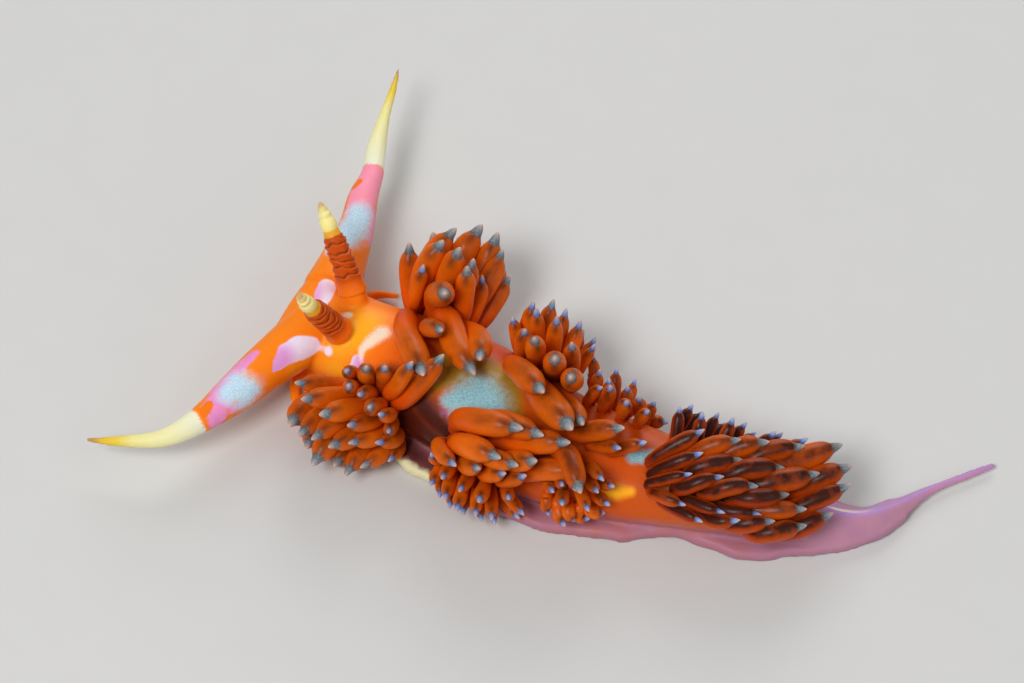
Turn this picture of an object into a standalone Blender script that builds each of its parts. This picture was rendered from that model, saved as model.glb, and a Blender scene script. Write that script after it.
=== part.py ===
"""Aeolid nudibranch, life size, crawling on its foot with its head turned to one side.

Metres, +Z up, the floor at z = 0. The head is at -X and the tail at +X. A place on the body is a
station (distance along the back from the front of the head) and a turn (angle from straight up,
round to the flank). Sizes are written in millimetres and multiplied by MM.
"""

import math
import random

import bmesh
import bpy
import numpy as np
from mathutils import Matrix, Vector

MM = 0.001
GAP = 0.3 * MM
UP = Vector((0.0, 0.0, 1.0))

# How far the finished animal moves so that the middle of its box stands over the origin
CENTRING = Vector((0.0, -0.66, 0.0)) * MM

# The line that the back follows, seen from above, from the front of the head to the tip of the tail
BACK_LINE = [
    (-16.3, 0.7), (-10.3, -2.9), (-4.4, -6.7), (1.1, -10.3), (6.5, -12.2),
    (12.8, -13.8), (19.2, -14.9), (22.0, -13.95), (24.6, -12.2), (28.9, -10.2),
]
LINE_STEPS = 24

# Station and size, both in millimetres
HALF_WIDTH = [
    (0, 0.9), (0.5, 1.9), (1.6, 2.7), (3.4, 3.1), (5.5, 3.2), (8, 3.6), (11, 4.0), (14, 4.2),
    (18, 4.1), (22, 3.8), (26, 3.3), (30, 2.7), (35, 2.2), (37, 1.8), (38.5, 1.5), (40, 1.28),
    (41.5, 1.08), (43, 0.78), (44.3, 0.5), (46, 0.32), (49.2, 0.27), (50.2, 0.2),
]
CROWN = [
    (0, 2.7), (0.5, 3.3), (2, 4.1), (5, 4.6), (9, 5.0), (14, 5.5), (20, 5.2), (26, 4.6),
    (32, 4.0), (35, 3.2), (37, 2.5), (38.5, 2.05), (40, 1.75), (41.5, 1.5), (43, 1.2),
    (44.3, 0.85), (46, 0.62), (49.2, 0.5), (50.2, 0.42),
]
FOOT_HALF_WIDTH = [
    (0.8, 1.6), (1.6, 2.7), (4, 3.2), (8, 4.2), (11, 5.2), (13, 5.5), (18, 5.2), (22, 4.6),
    (26, 3.8), (29.3, 2.7), (33, 3.4), (36.5, 2.5), (39.2, 1.6), (41, 1.2), (43, 0.82),
]
FOOT_TOP = 0.8 * MM
FOOT_RIM = 0.5 * MM
FOOT_SHOULDER = 2.2
FOOT_SQUARENESS = 0.8
BELLY = FOOT_TOP + GAP
BELLY_SHARE = 0.9
BELLY_FLATNESS = 1.25
BELLY_CURVE = 0.6
HEAD_LIFT = 0.5 * MM
HEAD_LIFT_LENGTH = 3.0 * MM
WAIST = 0.42

# How fast the flank draws in under the crown: below 1 is full, above 1 is a ridge
BODY_FULLNESS, HIND_FULLNESS, TAIL_FULLNESS = 0.85, 1.25, 1.4
CROWN_FULLNESS, RIDGE_FULLNESS = 0.95, 1.3
RIM_SHARE = 0.6
RIM_RISE = 3.0
BODY_SIDES = 18
FOOT_SIDES = 12
TAIL_SIDES = 14

# First and last station of each length of the body, in millimetres
HEAD_SPAN = (0.0, 6.4)
BODY_SPANS = {
    "body_shoulder": (6.7, 12.5),
    "body_heart": (12.8, 14.1),
    "body_middle": (14.4, 20.5),
    "body_rear": (20.8, 26.5),
    "body_hind": (26.8, 39.2),
}
TAIL_SPANS = {"tail_root": (39.5, 44.8), "tail_tip": (45.1, 50.2)}
FOOT_SPANS = {"foot_front": (0.8, 13.4), "foot_middle": (13.7, 26.5), "foot_rear": (26.8, 39.2)}

# Tentacle and rhinophore lines start inside the head; each row is x, y, z and radius in millimetres
LEFT_TENTACLE = [
    (-14.6, -1.4, 3.0, 1.9), (-17.8, -4.6, 3.1, 1.5), (-19.4, -6.4, 3.2, 1.3),
    (-21.8, -8.7, 3.2, 0.85), (-24.1, -9.9, 3.0, 0.57), (-26.9, -9.9, 2.7, 0.33),
    (-28.9, -9.6, 2.4, 0.12),
]
RIGHT_TENTACLE = [
    (-13.6, 1.6, 3.0, 1.9), (-12.9, 3.8, 3.1, 1.55), (-12.1, 6.4, 3.3, 1.2),
    (-11.7, 8.7, 3.5, 1.0), (-11.1, 10.7, 3.6, 0.74), (-10.9, 12.6, 3.7, 0.67),
    (-10.4, 15.3, 3.8, 0.39), (-9.9, 17.4, 3.8, 0.26), (-9.5, 19.5, 3.7, 0.1),
]
TENTACLE_ROOTS = (0.20, 0.19)
TENTACLE_JOINS = (0.58, 0.53)

BROW = [(-16.2, -2.4, 3.0, 1.3), (-14.9, 0.2, 3.0, 1.35), (-13.2, 3.0, 3.1, 1.3)]
LEFT_RHINOPHORE = [
    (-12.5, -2.3, 3.3, 0.95), (-12.9, -2.7, 4.5, 0.85), (-13.7, -3.1, 6.4, 0.62),
    (-14.6, -3.6, 8.5, 0.55), (-15.3, -4.0, 10.4, 0.3),
]
RIGHT_RHINOPHORE = [
    (-12.0, -0.4, 3.3, 0.95), (-12.1, 0.2, 4.5, 0.85), (-12.7, 1.4, 6.2, 0.62),
    (-13.5, 2.8, 7.9, 0.55), (-14.2, 4.0, 9.4, 0.3),
]
RHINOPHORE_ROOT = 0.25
RHINOPHORE_RINGS = 9
RING_HEIGHT = 0.16


# Station, distance out and height of each lip, and its half sizes along, across and up
LIPS_AT = (0.5, 0.5, 1.9)
LIP_SIZE = (0.75, 0.62, 0.95)

# Station, distance out, height and radius of the foot's drawn-out front corners, in millimetres
FOOT_CORNERS = [
    (2.6, 2.4, 0.5, 0.48), (2.7, 3.7, 0.48, 0.42), (3.5, 4.9, 0.45, 0.3), (4.8, 5.6, 0.42, 0.16),
]

LEFT, RIGHT = 1, -1

# Rows of cerata, from the inner to the outer: turn from straight up in degrees, count, first and
# last station, and where the first, the middle and the last tip stand (x, y, z), in millimetres
BUNCHES = {
    ("body_shoulder", LEFT): [
        (54, 5, 7.8, 10.8, (-12.4, -7.5, 7.5), (-9.6, -8.1, 8.2), (-6.5, -7.0, 7.4)),
        (68, 4, 8.0, 10.6, (-12.0, -8.6, 7.0), (-11.1, -9.6, 6.8), (-10.2, -10.2, 6.2)),
        (84, 5, 7.3, 10.7, (-15.4, -7.2, 5.0), (-13.7, -10.1, 6.0), (-9.5, -10.7, 4.6)),
        (96, 6, 7.4, 10.7, (-16.1, -9.4, 3.6), (-14.0, -11.0, 3.9), (-10.4, -10.8, 3.6)),
        (108, 6, 7.8, 10.4, (-15.0, -10.2, 2.2), (-13.0, -11.7, 1.8), (-10.0, -10.9, 1.8)),
    ],
    ("body_shoulder", RIGHT): [
        (24, 2, 7.8, 10.0, (-7.8, -7.4, 7.4), (-7.0, -6.3, 8.4), (-6.3, -5.3, 9.0)),
        (34, 2, 9.6, 10.9, (-4.3, -7.0, 7.0), (-4.2, -7.0, 7.6), (-4.1, -6.9, 8.2)),
        (50, 3, 7.5, 10.8, (-7.6, 0.0, 8.2), (-6.2, -3.6, 10.2), (-4.6, -0.8, 9.2)),
        (64, 4, 7.3, 11.2, (-6.3, 1.4, 8.4), (-4.9, 0.4, 8.6), (-3.9, 0.2, 7.0)),
        (80, 5, 7.3, 11.2, (-5.6, 3.7, 7.0), (-3.0, 3.7, 6.6), (-2.2, 1.4, 5.0)),
        (96, 4, 7.5, 10.8, (-8.5, 3.1, 5.2), (-6.0, 4.0, 5.2), (-2.6, 3.2, 4.2)),
    ],
    ("body_middle", LEFT): [
        (50, 3, 15.3, 17.8, (-0.9, -13.0, 8.4), (0.2, -13.0, 8.0), (1.4, -13.3, 7.4)),
        (60, 4, 15.3, 19.4, (-2.6, -14.3, 7.4), (-0.8, -14.6, 7.4), (1.6, -14.3, 7.0)),
        (70, 4, 15.2, 19.4, (-5.2, -14.4, 6.2), (-3.0, -15.0, 6.6), (-0.5, -15.0, 6.4)),
        (80, 5, 15.2, 19.2, (-6.8, -12.4, 5.4), (-5.3, -15.2, 4.8), (-2.0, -15.8, 5.0)),
        (90, 6, 15.1, 19.2, (-6.9, -13.6, 3.4), (-4.9, -15.5, 2.9), (-1.4, -15.6, 2.8)),
        (102, 6, 15.3, 19.0, (-6.6, -13.6, 1.7), (-4.6, -15.0, 1.4), (-1.2, -14.9, 1.3)),
    ],
    ("body_middle", RIGHT): [
        (24, 3, 15.8, 18.8, (-0.1, -10.9, 9.2), (1.6, -13.1, 8.8), (2.3, -11.8, 8.0)),
        (40, 4, 15.4, 19.4, (-1.2, -5.6, 9.2), (0.2, -8.0, 10.1), (1.6, -9.8, 9.6)),
        (56, 4, 15.0, 18.9, (-2.0, -3.4, 7.0), (0.2, -3.8, 8.6), (2.0, -6.4, 8.2)),
        (71, 5, 14.9, 18.9, (-0.6, -2.2, 7.2), (1.6, -2.4, 6.9), (3.2, -4.9, 6.2)),
        (86, 5, 15.1, 18.7, (-0.8, -1.0, 5.0), (1.4, -1.5, 4.6), (3.6, -3.3, 4.2)),
    ],
    ("body_rear", LEFT): [
        (8, 3, 21.2, 24.4, (4.6, -12.7, 8.2), (4.8, -13.6, 7.6), (6.6, -12.5, 6.6)),
        (22, 2, 20.9, 22.8, (2.2, -16.4, 7.2), (2.9, -15.7, 6.8), (3.6, -15.0, 6.4)),
        (42, 4, 21.4, 24.2, (1.4, -15.2, 5.8), (2.6, -15.9, 5.8), (4.6, -15.0, 5.2)),
        (58, 4, 21.4, 24.0, (0.5, -15.2, 4.6), (2.1, -16.2, 4.8), (4.2, -15.8, 4.0)),
        (76, 5, 21.5, 23.8, (0.7, -15.4, 2.4), (2.4, -15.9, 2.4), (4.0, -15.2, 2.6)),
    ],
    ("body_rear", RIGHT): [
        (32, 4, 21.4, 25.2, (3.8, -8.8, 7.6), (4.6, -10.0, 8.0), (6.5, -10.6, 7.0)),
        (50, 4, 21.4, 25.3, (3.5, -6.6, 6.2), (4.8, -7.6, 6.4), (6.3, -8.5, 6.0)),
        (66, 4, 21.4, 25.4, (3.0, -4.6, 4.8), (5.2, -6.0, 4.8), (7.2, -7.7, 4.4)),
        (82, 4, 21.7, 25.2, (3.2, -4.8, 3.0), (5.6, -6.6, 3.0), (7.6, -8.4, 2.8)),
    ],
    ("body_hind", LEFT): [
        (6, 5, 26.6, 33.6, (9.8, -11.7, 6.6), (14.6, -12.6, 6.0), (19.0, -11.8, 5.2)),
        (18, 5, 27.0, 34.2, (10.0, -13.4, 6.3), (15.2, -14.0, 5.4), (19.2, -13.2, 5.2)),
        (30, 5, 27.0, 34.4, (9.6, -14.9, 5.5), (14.5, -15.1, 5.1), (19.0, -14.6, 4.7)),
        (40, 5, 27.2, 34.4, (8.8, -15.9, 4.8), (13.8, -16.3, 4.7), (18.9, -15.7, 4.2)),
        (50, 4, 27.8, 33.4, (9.6, -17.0, 4.3), (13.6, -17.2, 4.3), (17.6, -16.9, 3.8)),
    ],
    ("body_hind", RIGHT): [
        (18, 5, 27.8, 33.8, (8.4, -9.7, 6.5), (12.3, -10.6, 6.1), (16.8, -11.5, 5.5)),
        (36, 5, 27.5, 34.6, (9.5, -8.9, 5.2), (12.9, -10.0, 5.0), (17.4, -11.4, 4.2)),
        (54, 5, 27.8, 35.0, (10.2, -8.6, 3.8), (13.3, -9.6, 3.4), (17.6, -11.4, 2.8)),
        (72, 5, 28.2, 34.8, (10.8, -8.6, 2.3), (13.8, -9.9, 2.1), (17.7, -11.7, 1.7)),
    ],
}
DARK_CORES = {"body_shoulder": 0.42, "body_middle": 0.40, "body_rear": 0.55, "body_hind": 1.25}
CERAS_POINTS = 8
CERAS_SUNK = 0.55 * MM
CERAS_STEM = 0.3 * MM
CERAS_BEND = 0.5
FLATTER_BEND = {"body_middle": 0.36, "body_hind": 0.2}
CERAS_GIRTH = 0.125
CERAS_GIRTH_LEAST = 0.42 * MM
CERAS_WANDER = 0.22 * MM
ROOT_WANDER = 0.12
TURN_WANDER = 4
GIRTH_VARIES = 0.08
TURN_STEP = 0.06
CERAS_SHAPE = [
    (0.0, 0.52), (0.08, 0.58), (0.25, 0.80), (0.5, 0.98), (0.7, 1.0), (0.84, 0.84), (0.93, 0.56),
    (0.975, 0.30), (1.0, 0.0),
]
CERAS_RINGS = (0.0, 0.26, 0.66, 0.89, 1.0)
SEED = 12
CERAS_SLIMMEST = 0.3

# How the cerata settle: rounds, how often neighbours are looked for, how far each push goes, and
# how strongly each ceras springs back to its first place and stays smooth
SETTLE_ROUNDS = 240
NEIGHBOURS_EVERY = 20
PUSH_APART, PUSH_OFF = 0.3, 0.5
LONGEST_PUSH = 0.25 * MM
SPRING, SPRING_UNTIL = 0.03, 0.7
SMOOTHING = 0.2

# Material name, colour and roughness
HEAD_SKIN = ("head_skin", (0.90, 0.36, 0.02), 0.35)
BACK_SKIN = ("back_skin", (0.55, 0.32, 0.10), 0.35)
CERATA_SKIN = ("cerata_skin", (0.76, 0.17, 0.01), 0.30)
FOOT_SKIN = ("foot_skin", (0.66, 0.40, 0.48), 0.35)
TIP_SKIN = ("tentacle_tip", (0.90, 0.86, 0.55), 0.40)
RHINOPHORE_SKIN = ("rhinophore_skin", (0.70, 0.20, 0.02), 0.45)


def blend(a, b, share):
    """The value that far from a to b."""
    return a + (b - a) * share


def smooth_value(table, at):
    """A size read from rows of (place, value) by a smooth curve through them."""
    places = [row[0] for row in table]
    if at <= places[0]:
        return table[0][1]
    if at >= places[-1]:
        return table[-1][1]
    i = max(k for k, place in enumerate(places) if place <= at)
    slopes = []
    for k in (i, i + 1):
        low, high = max(k - 1, 0), min(k + 1, len(table) - 1)
        slopes.append((table[high][1] - table[low][1]) / (places[high] - places[low]))
    span = places[i + 1] - places[i]
    t = (at - places[i]) / span
    return (
        (2 * t**3 - 3 * t**2 + 1) * table[i][1]
        + (t**3 - 2 * t**2 + t) * span * slopes[0]
        + (3 * t**2 - 2 * t**3) * table[i + 1][1]
        + (t**3 - t**2) * span * slopes[1]
    )


def rounded_line(rows, steps):
    """A Catmull-Rom curve through the rows, as an array with steps points to each span."""
    rows = np.array(rows, float)
    rows = np.vstack([2 * rows[0] - rows[1], rows, 2 * rows[-1] - rows[-2]])
    found = []
    for k in range(1, len(rows) - 2):
        a, b, c, d = rows[k - 1:k + 3]
        for t in np.arange(steps) / steps:
            found.append(
                0.5 * (2 * b + (c - a) * t + (2 * a - 5 * b + 4 * c - d) * t**2
                       + (3 * b - a - 3 * c + d) * t**3)
            )
    found.append(rows[-2])
    return np.array(found)


def evenly(line, count, start=0.0, end=1.0):
    """count points of a line, evenly spaced by length between two shares of it."""
    places = np.linspace(start, end, count)
    steps = np.linalg.norm(np.diff(line[:, :3], axis=0), axis=1)
    along = np.concatenate([[0.0], np.cumsum(steps)])
    along /= along[-1]
    return np.stack([np.interp(places, along, line[:, k]) for k in range(line.shape[1])], axis=1)


BACK = rounded_line(BACK_LINE, LINE_STEPS) * MM
BACK_STATIONS = np.concatenate([[0.0], np.cumsum(np.linalg.norm(np.diff(BACK, axis=0), axis=1))])


def back_at(station):
    """The point under the back at a station, and the level direction there towards the tail."""
    def point(place):
        return Vector([np.interp(place, BACK_STATIONS, BACK[:, k]) for k in (0, 1)] + [0.0])

    reach = 0.4 * MM
    low = max(station - reach, 0.0)
    high = min(station + reach, BACK_STATIONS[-1])
    return point(station), (point(high) - point(low)).normalized()


def size_at(table, station):
    return smooth_value(table, station / MM) * MM


def belly_at(station):
    """The height of the body's underside: it rests on the foot, and the head lifts off a little."""
    lift = max(0.0, 1.0 - station / HEAD_LIFT_LENGTH)
    return BELLY + HEAD_LIFT * lift**2


def tail_share(station):
    """0 on the body, 1 on the tail, which is narrow and ridged and stands on the floor itself."""
    first = BODY_SPANS["body_hind"][0] * MM
    last = TAIL_SPANS["tail_root"][0] * MM
    return min(1.0, max(0.0, (station - first) / (last - first)))


def flank(station, turn):
    """The (out, up) place of the body's skin at a turn from straight up."""
    width, top = size_at(HALF_WIDTH, station), size_at(CROWN, station)
    low = belly_at(station)
    middle = low + WAIST * (top - low)
    fullness = blend(BODY_FULLNESS, HIND_FULLNESS, tail_share(station))
    across, upright = math.sin(turn), math.cos(turn)
    out = math.copysign(width * abs(across) ** fullness, across)
    if upright >= 0:
        return out, middle + (top - middle) * upright ** CROWN_FULLNESS
    flat = min(1.0, BELLY_FLATNESS * abs(upright) ** BELLY_CURVE)
    return out * blend(1.0, BELLY_SHARE, flat), middle - (middle - low) * flat


def tail_skin(station, turn):
    """The (out, up) place on the tail: a low ridge that runs out into the foot's thin edges."""
    width, top = size_at(HALF_WIDTH, station), size_at(CROWN, station)
    across, upright = math.sin(turn), math.cos(turn)
    rim = min(FOOT_RIM, RIM_SHARE * top)
    if upright < 0:
        return width * across, 0.0
    out = math.copysign(width * abs(across) ** TAIL_FULLNESS, across)
    return out, rim * min(1.0, RIM_RISE * upright) + (top - rim) * upright ** RIDGE_FULLNESS


def foot_skin(station, turn):
    """The (out, up) place on the foot: a flat sole under a low plate with thin edges."""
    width = size_at(FOOT_HALF_WIDTH, station)
    across, upright = math.sin(turn), math.cos(turn)
    out = width * math.copysign(abs(across) ** FOOT_SQUARENESS, across)
    if upright < 0:
        return out, 0.0
    return out, blend(FOOT_RIM, FOOT_TOP, min(1.0, FOOT_SHOULDER * upright))


def place(station, out, up):
    """World position of an (out, up) place at a station. Out is towards the animal's left."""
    middle, back = back_at(station)
    left = back.cross(UP)
    return middle + left * out + UP * up


def finish(name, bm, skin):
    """Makes an object of the bmesh, in its own material, in the animal's collection."""
    mesh = bpy.data.meshes.new(name)
    bm.to_mesh(mesh)
    bm.free()
    mesh.materials.append(material(*skin))
    mesh.shade_smooth()
    mesh.set_sharp_from_angle(angle=math.radians(50))
    made = bpy.data.objects.new(name, mesh)
    ANIMAL.objects.link(made)
    return made


def material(name, colour, roughness):
    found = bpy.data.materials.get(name)
    if found:
        return found
    made = bpy.data.materials.new(name)
    made.use_nodes = True
    shader = made.node_tree.nodes["Principled BSDF"]
    shader.inputs["Base Color"].default_value = (*colour, 1.0)
    shader.inputs["Roughness"].default_value = roughness
    shader.inputs["Metallic"].default_value = 0.0
    return made


def loft(name, skin, outline, stations, sides):
    """A closed body through the outline at each station, its ends flat."""
    bm = bmesh.new()
    rings = []
    for station in stations:
        ring = []
        for k in range(sides):
            turn = 2 * math.pi * (k + 0.5) / sides
            turn -= 2 * math.pi if turn > math.pi else 0.0
            ring.append(bm.verts.new(place(station, *outline(station, turn))))
        rings.append(ring)
    loops = [[bm.edges.new((ring[k - 1], ring[k])) for k in range(sides)] for ring in rings]
    for before, after in zip(loops, loops[1:]):
        bmesh.ops.bridge_loops(bm, edges=before + after)
    bm.faces.new(rings[0])
    bm.faces.new(rings[-1])
    bmesh.ops.recalc_face_normals(bm, faces=bm.faces)
    return finish(name, bm, skin)


def stations_of(span, count):
    return [blend(span[0], span[1], k / (count - 1)) * MM for k in range(count)]


def tube(name, skin, points, radii, resolution):
    """A round tapered body along points: a curve with a bevel, made a closed mesh."""
    curve = bpy.data.curves.new(name, "CURVE")
    curve.dimensions = "3D"
    curve.bevel_depth = MM
    curve.bevel_resolution = resolution
    curve.use_fill_caps = True
    spline = curve.splines.new("POLY")
    spline.points.add(len(points) - 1)
    for target, point, radius in zip(spline.points, points, radii):
        target.co = (*point, 1.0)
        target.radius = radius / MM
    guide = bpy.data.objects.new(name + "_line", curve)
    ANIMAL.objects.link(guide)
    graph = bpy.context.evaluated_depsgraph_get()
    mesh = bpy.data.meshes.new_from_object(guide.evaluated_get(graph))
    bpy.data.objects.remove(guide)
    bm = bmesh.new()
    bm.from_mesh(mesh)
    bmesh.ops.remove_doubles(bm, verts=bm.verts, dist=0.004 * MM)
    bmesh.ops.recalc_face_normals(bm, faces=bm.faces)
    return finish(name, bm, skin)


def fuse(base, pieces):
    """Joins the pieces to the base in one union, and keeps the largest closed surface."""
    if not pieces:
        return
    group = bpy.data.collections.new(base.name + "_pieces")
    bpy.context.scene.collection.children.link(group)
    for piece in pieces:
        ANIMAL.objects.unlink(piece)
        group.objects.link(piece)
    union = base.modifiers.new("union", "BOOLEAN")
    union.operation = "UNION"
    union.operand_type = "COLLECTION"
    union.collection = group
    union.solver = "MANIFOLD"
    graph = bpy.context.evaluated_depsgraph_get()
    joined = bpy.data.meshes.new_from_object(base.evaluated_get(graph))
    base.modifiers.remove(union)
    for piece in pieces:
        bpy.data.objects.remove(piece)
    bpy.data.collections.remove(group)
    bm = bmesh.new()
    bm.from_mesh(joined)
    keep_largest(bm)
    bm.to_mesh(joined)
    bm.free()
    base.data = joined


def keep_largest(bm):
    """Removes all but the closed surface with the largest box."""
    left, shells = set(bm.verts), []
    while left:
        shell, edge = set(), {left.pop()}
        while edge:
            shell |= edge
            edge = {e.other_vert(v) for v in edge for e in v.link_edges} - shell
        left -= shell
        shells.append(shell)

    def reach(shell):
        spread = np.ptp(np.array([v.co for v in shell]), axis=0)
        return float(np.prod(spread + 1e-9))

    largest = max(shells, key=reach)
    loose = [v for v in bm.verts if v not in largest]
    bmesh.ops.delete(bm, geom=loose, context="VERTS")


def feeler(name, rows, root, join):
    """The stub, base and tip of an oral tentacle, with a gap between them."""
    line = rounded_line(rows, LINE_STEPS) * MM
    gap = GAP / length_of(line)
    spans = {
        name + "_stub": (0.0, root - gap / 2, 5),
        name + "_base": (root + gap / 2, join - gap / 2, 9),
        name + "_tip": (join + gap / 2, 1.0, 11),
    }
    made = {}
    for part, (start, end, count) in spans.items():
        found = evenly(line, count, start, end)
        skin = TIP_SKIN if part.endswith("_tip") else HEAD_SKIN
        made[part] = tube(part, skin, found[:, :3], found[:, 3], 3)
    return made[name + "_stub"]


def length_of(line):
    return np.linalg.norm(np.diff(line[:, :3], axis=0), axis=1).sum()


def rhinophore(name, rows):
    """A rhinophore with raised rings, and its smooth root in the head."""
    line = rounded_line(rows, LINE_STEPS) * MM
    gap = GAP / length_of(line)
    root = evenly(line, 4, 0.0, RHINOPHORE_ROOT - gap / 2)
    stub = tube(name + "_stub", RHINOPHORE_SKIN, root[:, :3], root[:, 3], 3)
    count = 2 * RHINOPHORE_RINGS + 5
    shaft = evenly(line, count, RHINOPHORE_ROOT + gap / 2, 1.0)
    for k in range(2, count - 2):
        shaft[k, 3] *= 1 + (RING_HEIGHT if k % 2 else 0.0)
    shaft[-1, 3] *= 0.3
    tube(name, RHINOPHORE_SKIN, shaft[:, :3], shaft[:, 3], 3)
    return stub


def lips():
    """Two soft lips with the slit of the mouth between them."""
    made = []
    along, aside, up = (size * MM for size in LIPS_AT)
    for side in (LEFT, RIGHT):
        bm = bmesh.new()
        bmesh.ops.create_uvsphere(bm, u_segments=12, v_segments=8, radius=1.0)
        _, back = back_at(along)
        turned = Matrix.Rotation(math.atan2(back.y, back.x), 4, "Z")
        grown = Matrix.Diagonal((*(size * MM for size in LIP_SIZE), 1.0))
        moved = Matrix.Translation(place(along, side * aside, up))
        bmesh.ops.transform(bm, matrix=moved @ turned @ grown, verts=bm.verts)
        made.append(finish("lip", bm, HEAD_SKIN))
    return made


def make_head():
    """The head with the roots of its tentacles and rhinophores, and those parts on their own."""
    stations = [k * MM for k in (0.0, 0.35, 0.9, 1.8, 3.0, 4.6)] + [HEAD_SPAN[1] * MM]
    head = loft("head", HEAD_SKIN, flank, stations, BODY_SIDES)
    brow = evenly(rounded_line(BROW, LINE_STEPS) * MM, 6)
    pieces = lips() + [tube("brow", HEAD_SKIN, brow[:, :3], brow[:, 3], 3)]
    tentacles = {"left": LEFT_TENTACLE, "right": RIGHT_TENTACLE}
    for (name, rows), root, join in zip(tentacles.items(), TENTACLE_ROOTS, TENTACLE_JOINS):
        pieces.append(feeler("oral_tentacle_" + name, rows, root, join))
    for name, rows in (("left", LEFT_RHINOPHORE), ("right", RIGHT_RHINOPHORE)):
        pieces.append(rhinophore("rhinophore_" + name, rows))
    fuse(head, pieces)


def through(first, middle, last, share):
    """The place at a share of the curve through three places."""
    return (first * ((1 - share) * (1 - 2 * share)) + middle * (4 * share * (1 - share))
            + last * (share * (2 * share - 1)))


def ceras_points(side, station, angle, tip, bend_share):
    """Points along one ceras: it leaves the skin squarely, then bends to its tip."""
    _, back = back_at(station)
    out = back.cross(UP) * side
    here = Vector(flank(station, angle))
    along = (Vector(flank(station, angle + TURN_STEP)) - here).normalized()
    square = (UP * along.x - out * along.y).normalized()
    if square.dot(out * math.sin(angle) + UP * math.cos(angle)) < 0:
        square = -square
    root = place(station, side * here.x, here.y)
    start = root + square * CERAS_STEM
    bend = start + square * (bend_share * (tip - start).length)
    points = [root - square * CERAS_SUNK]
    for k in range(CERAS_POINTS - 1):
        share = k / (CERAS_POINTS - 2)
        points.append(
            start * (1 - share) ** 2 + bend * (2 * share * (1 - share)) + tip * share**2
        )
    return [list(point) for point in points]


def bunch_cerata():
    """Every ceras before it settles: its node, points and girth."""
    chance = random.Random(SEED)
    found = []
    for (name, side), rows in BUNCHES.items():
        for turn, count, first, last, *tips in rows:
            tips = [Vector(tip) * MM for tip in tips]
            for k in range(count):
                share = min(1.0, max(0.0, (k + ROOT_WANDER * chance.uniform(-1, 1)) / (count - 1)))
                station = blend(first, last, share) * MM
                angle = math.radians(turn + TURN_WANDER * chance.uniform(-1, 1))
                tip = through(*tips, share) + Vector([
                    chance.uniform(-CERAS_WANDER, CERAS_WANDER) for _ in range(3)
                ])
                points = ceras_points(
                    side, station, angle, tip, FLATTER_BEND.get(name, CERAS_BEND)
                )
                length = length_of(np.array(points[1:]))
                girth = max(CERAS_GIRTH * length, CERAS_GIRTH_LEAST)
                girth *= 1 + GIRTH_VARIES * chance.uniform(-1, 1)
                found.append((name, points, girth))
    return found


def settle(cerata, fixed):
    """Bends the cerata apart, off the body and off the floor, so that no two cross."""
    points = np.array([c[1] for c in cerata])
    count, joints = points.shape[:2]
    shares = np.concatenate([[0.0], np.linspace(0.08, 1.0, joints - 1)])
    shape = np.array([max(smooth_value(CERAS_SHAPE, s), CERAS_SLIMMEST) for s in shares])
    radii = np.array([c[2] for c in cerata])[:, None] * shape[None, :]
    girth = radii.reshape(-1)
    names = sorted({c[0] for c in cerata})
    owner = np.repeat([names.index(c[0]) for c in cerata], joints)
    which = np.repeat(np.arange(count), joints)
    rest = points.copy()
    steps = np.linalg.norm(np.diff(rest, axis=1), axis=2)
    clear = np.where(owner[:, None] == owner[None, :], 0.04 * MM, GAP + 0.08 * MM)
    reach = girth[:, None] + girth[None, :] + clear
    reach[which[:, None] == which[None, :]] = 0.0
    for turn in range(SETTLE_ROUNDS):
        flat = points.reshape(-1, 3)
        if turn % NEIGHBOURS_EVERY == 0:
            far = np.linalg.norm(flat[:, None, :] - flat[None, :, :], axis=2)
            first, second = np.nonzero(far < reach + 1.2 * MM * (reach > 0))
        moved = pushed(flat, flat, first, second, reach[first, second]) * PUSH_APART
        near = fixed[None, :, 3] + girth[:, None] + GAP + 0.1 * MM
        every = np.indices(near.shape).reshape(2, -1)
        moved += pushed(flat, fixed[:, :3], *every, near.reshape(-1)) * PUSH_OFF
        size = np.linalg.norm(moved, axis=1, keepdims=True) + 1e-12
        moved *= np.minimum(1.0, LONGEST_PUSH / size)
        points = (flat + moved).reshape(count, joints, 3)
        if turn < SPRING_UNTIL * SETTLE_ROUNDS:
            points += SPRING * (rest - points)
        points[:, 2:-1] += SMOOTHING * ((points[:, 1:-2] + points[:, 3:]) / 2 - points[:, 2:-1])
        points = off_the_body(points, girth)
        points[:, :2] = rest[:, :2]
        for k in range(2, joints):
            step = points[:, k] - points[:, k - 1]
            size = np.linalg.norm(step, axis=1, keepdims=True) + 1e-12
            points[:, k] = points[:, k - 1] + step / size * steps[:, k - 1:k]
    return points


def pushed(points, others, first, second, reach):
    """How far each point is pushed by the others that lie nearer to it than their reach."""
    apart = points[first] - others[second]
    distance = np.linalg.norm(apart, axis=1) + 1e-9
    apart *= (np.maximum(reach - distance, 0.0) / distance)[:, None]
    return np.stack(
        [np.bincount(first, apart[:, k], minlength=len(points)) for k in range(3)], axis=1
    )


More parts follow.
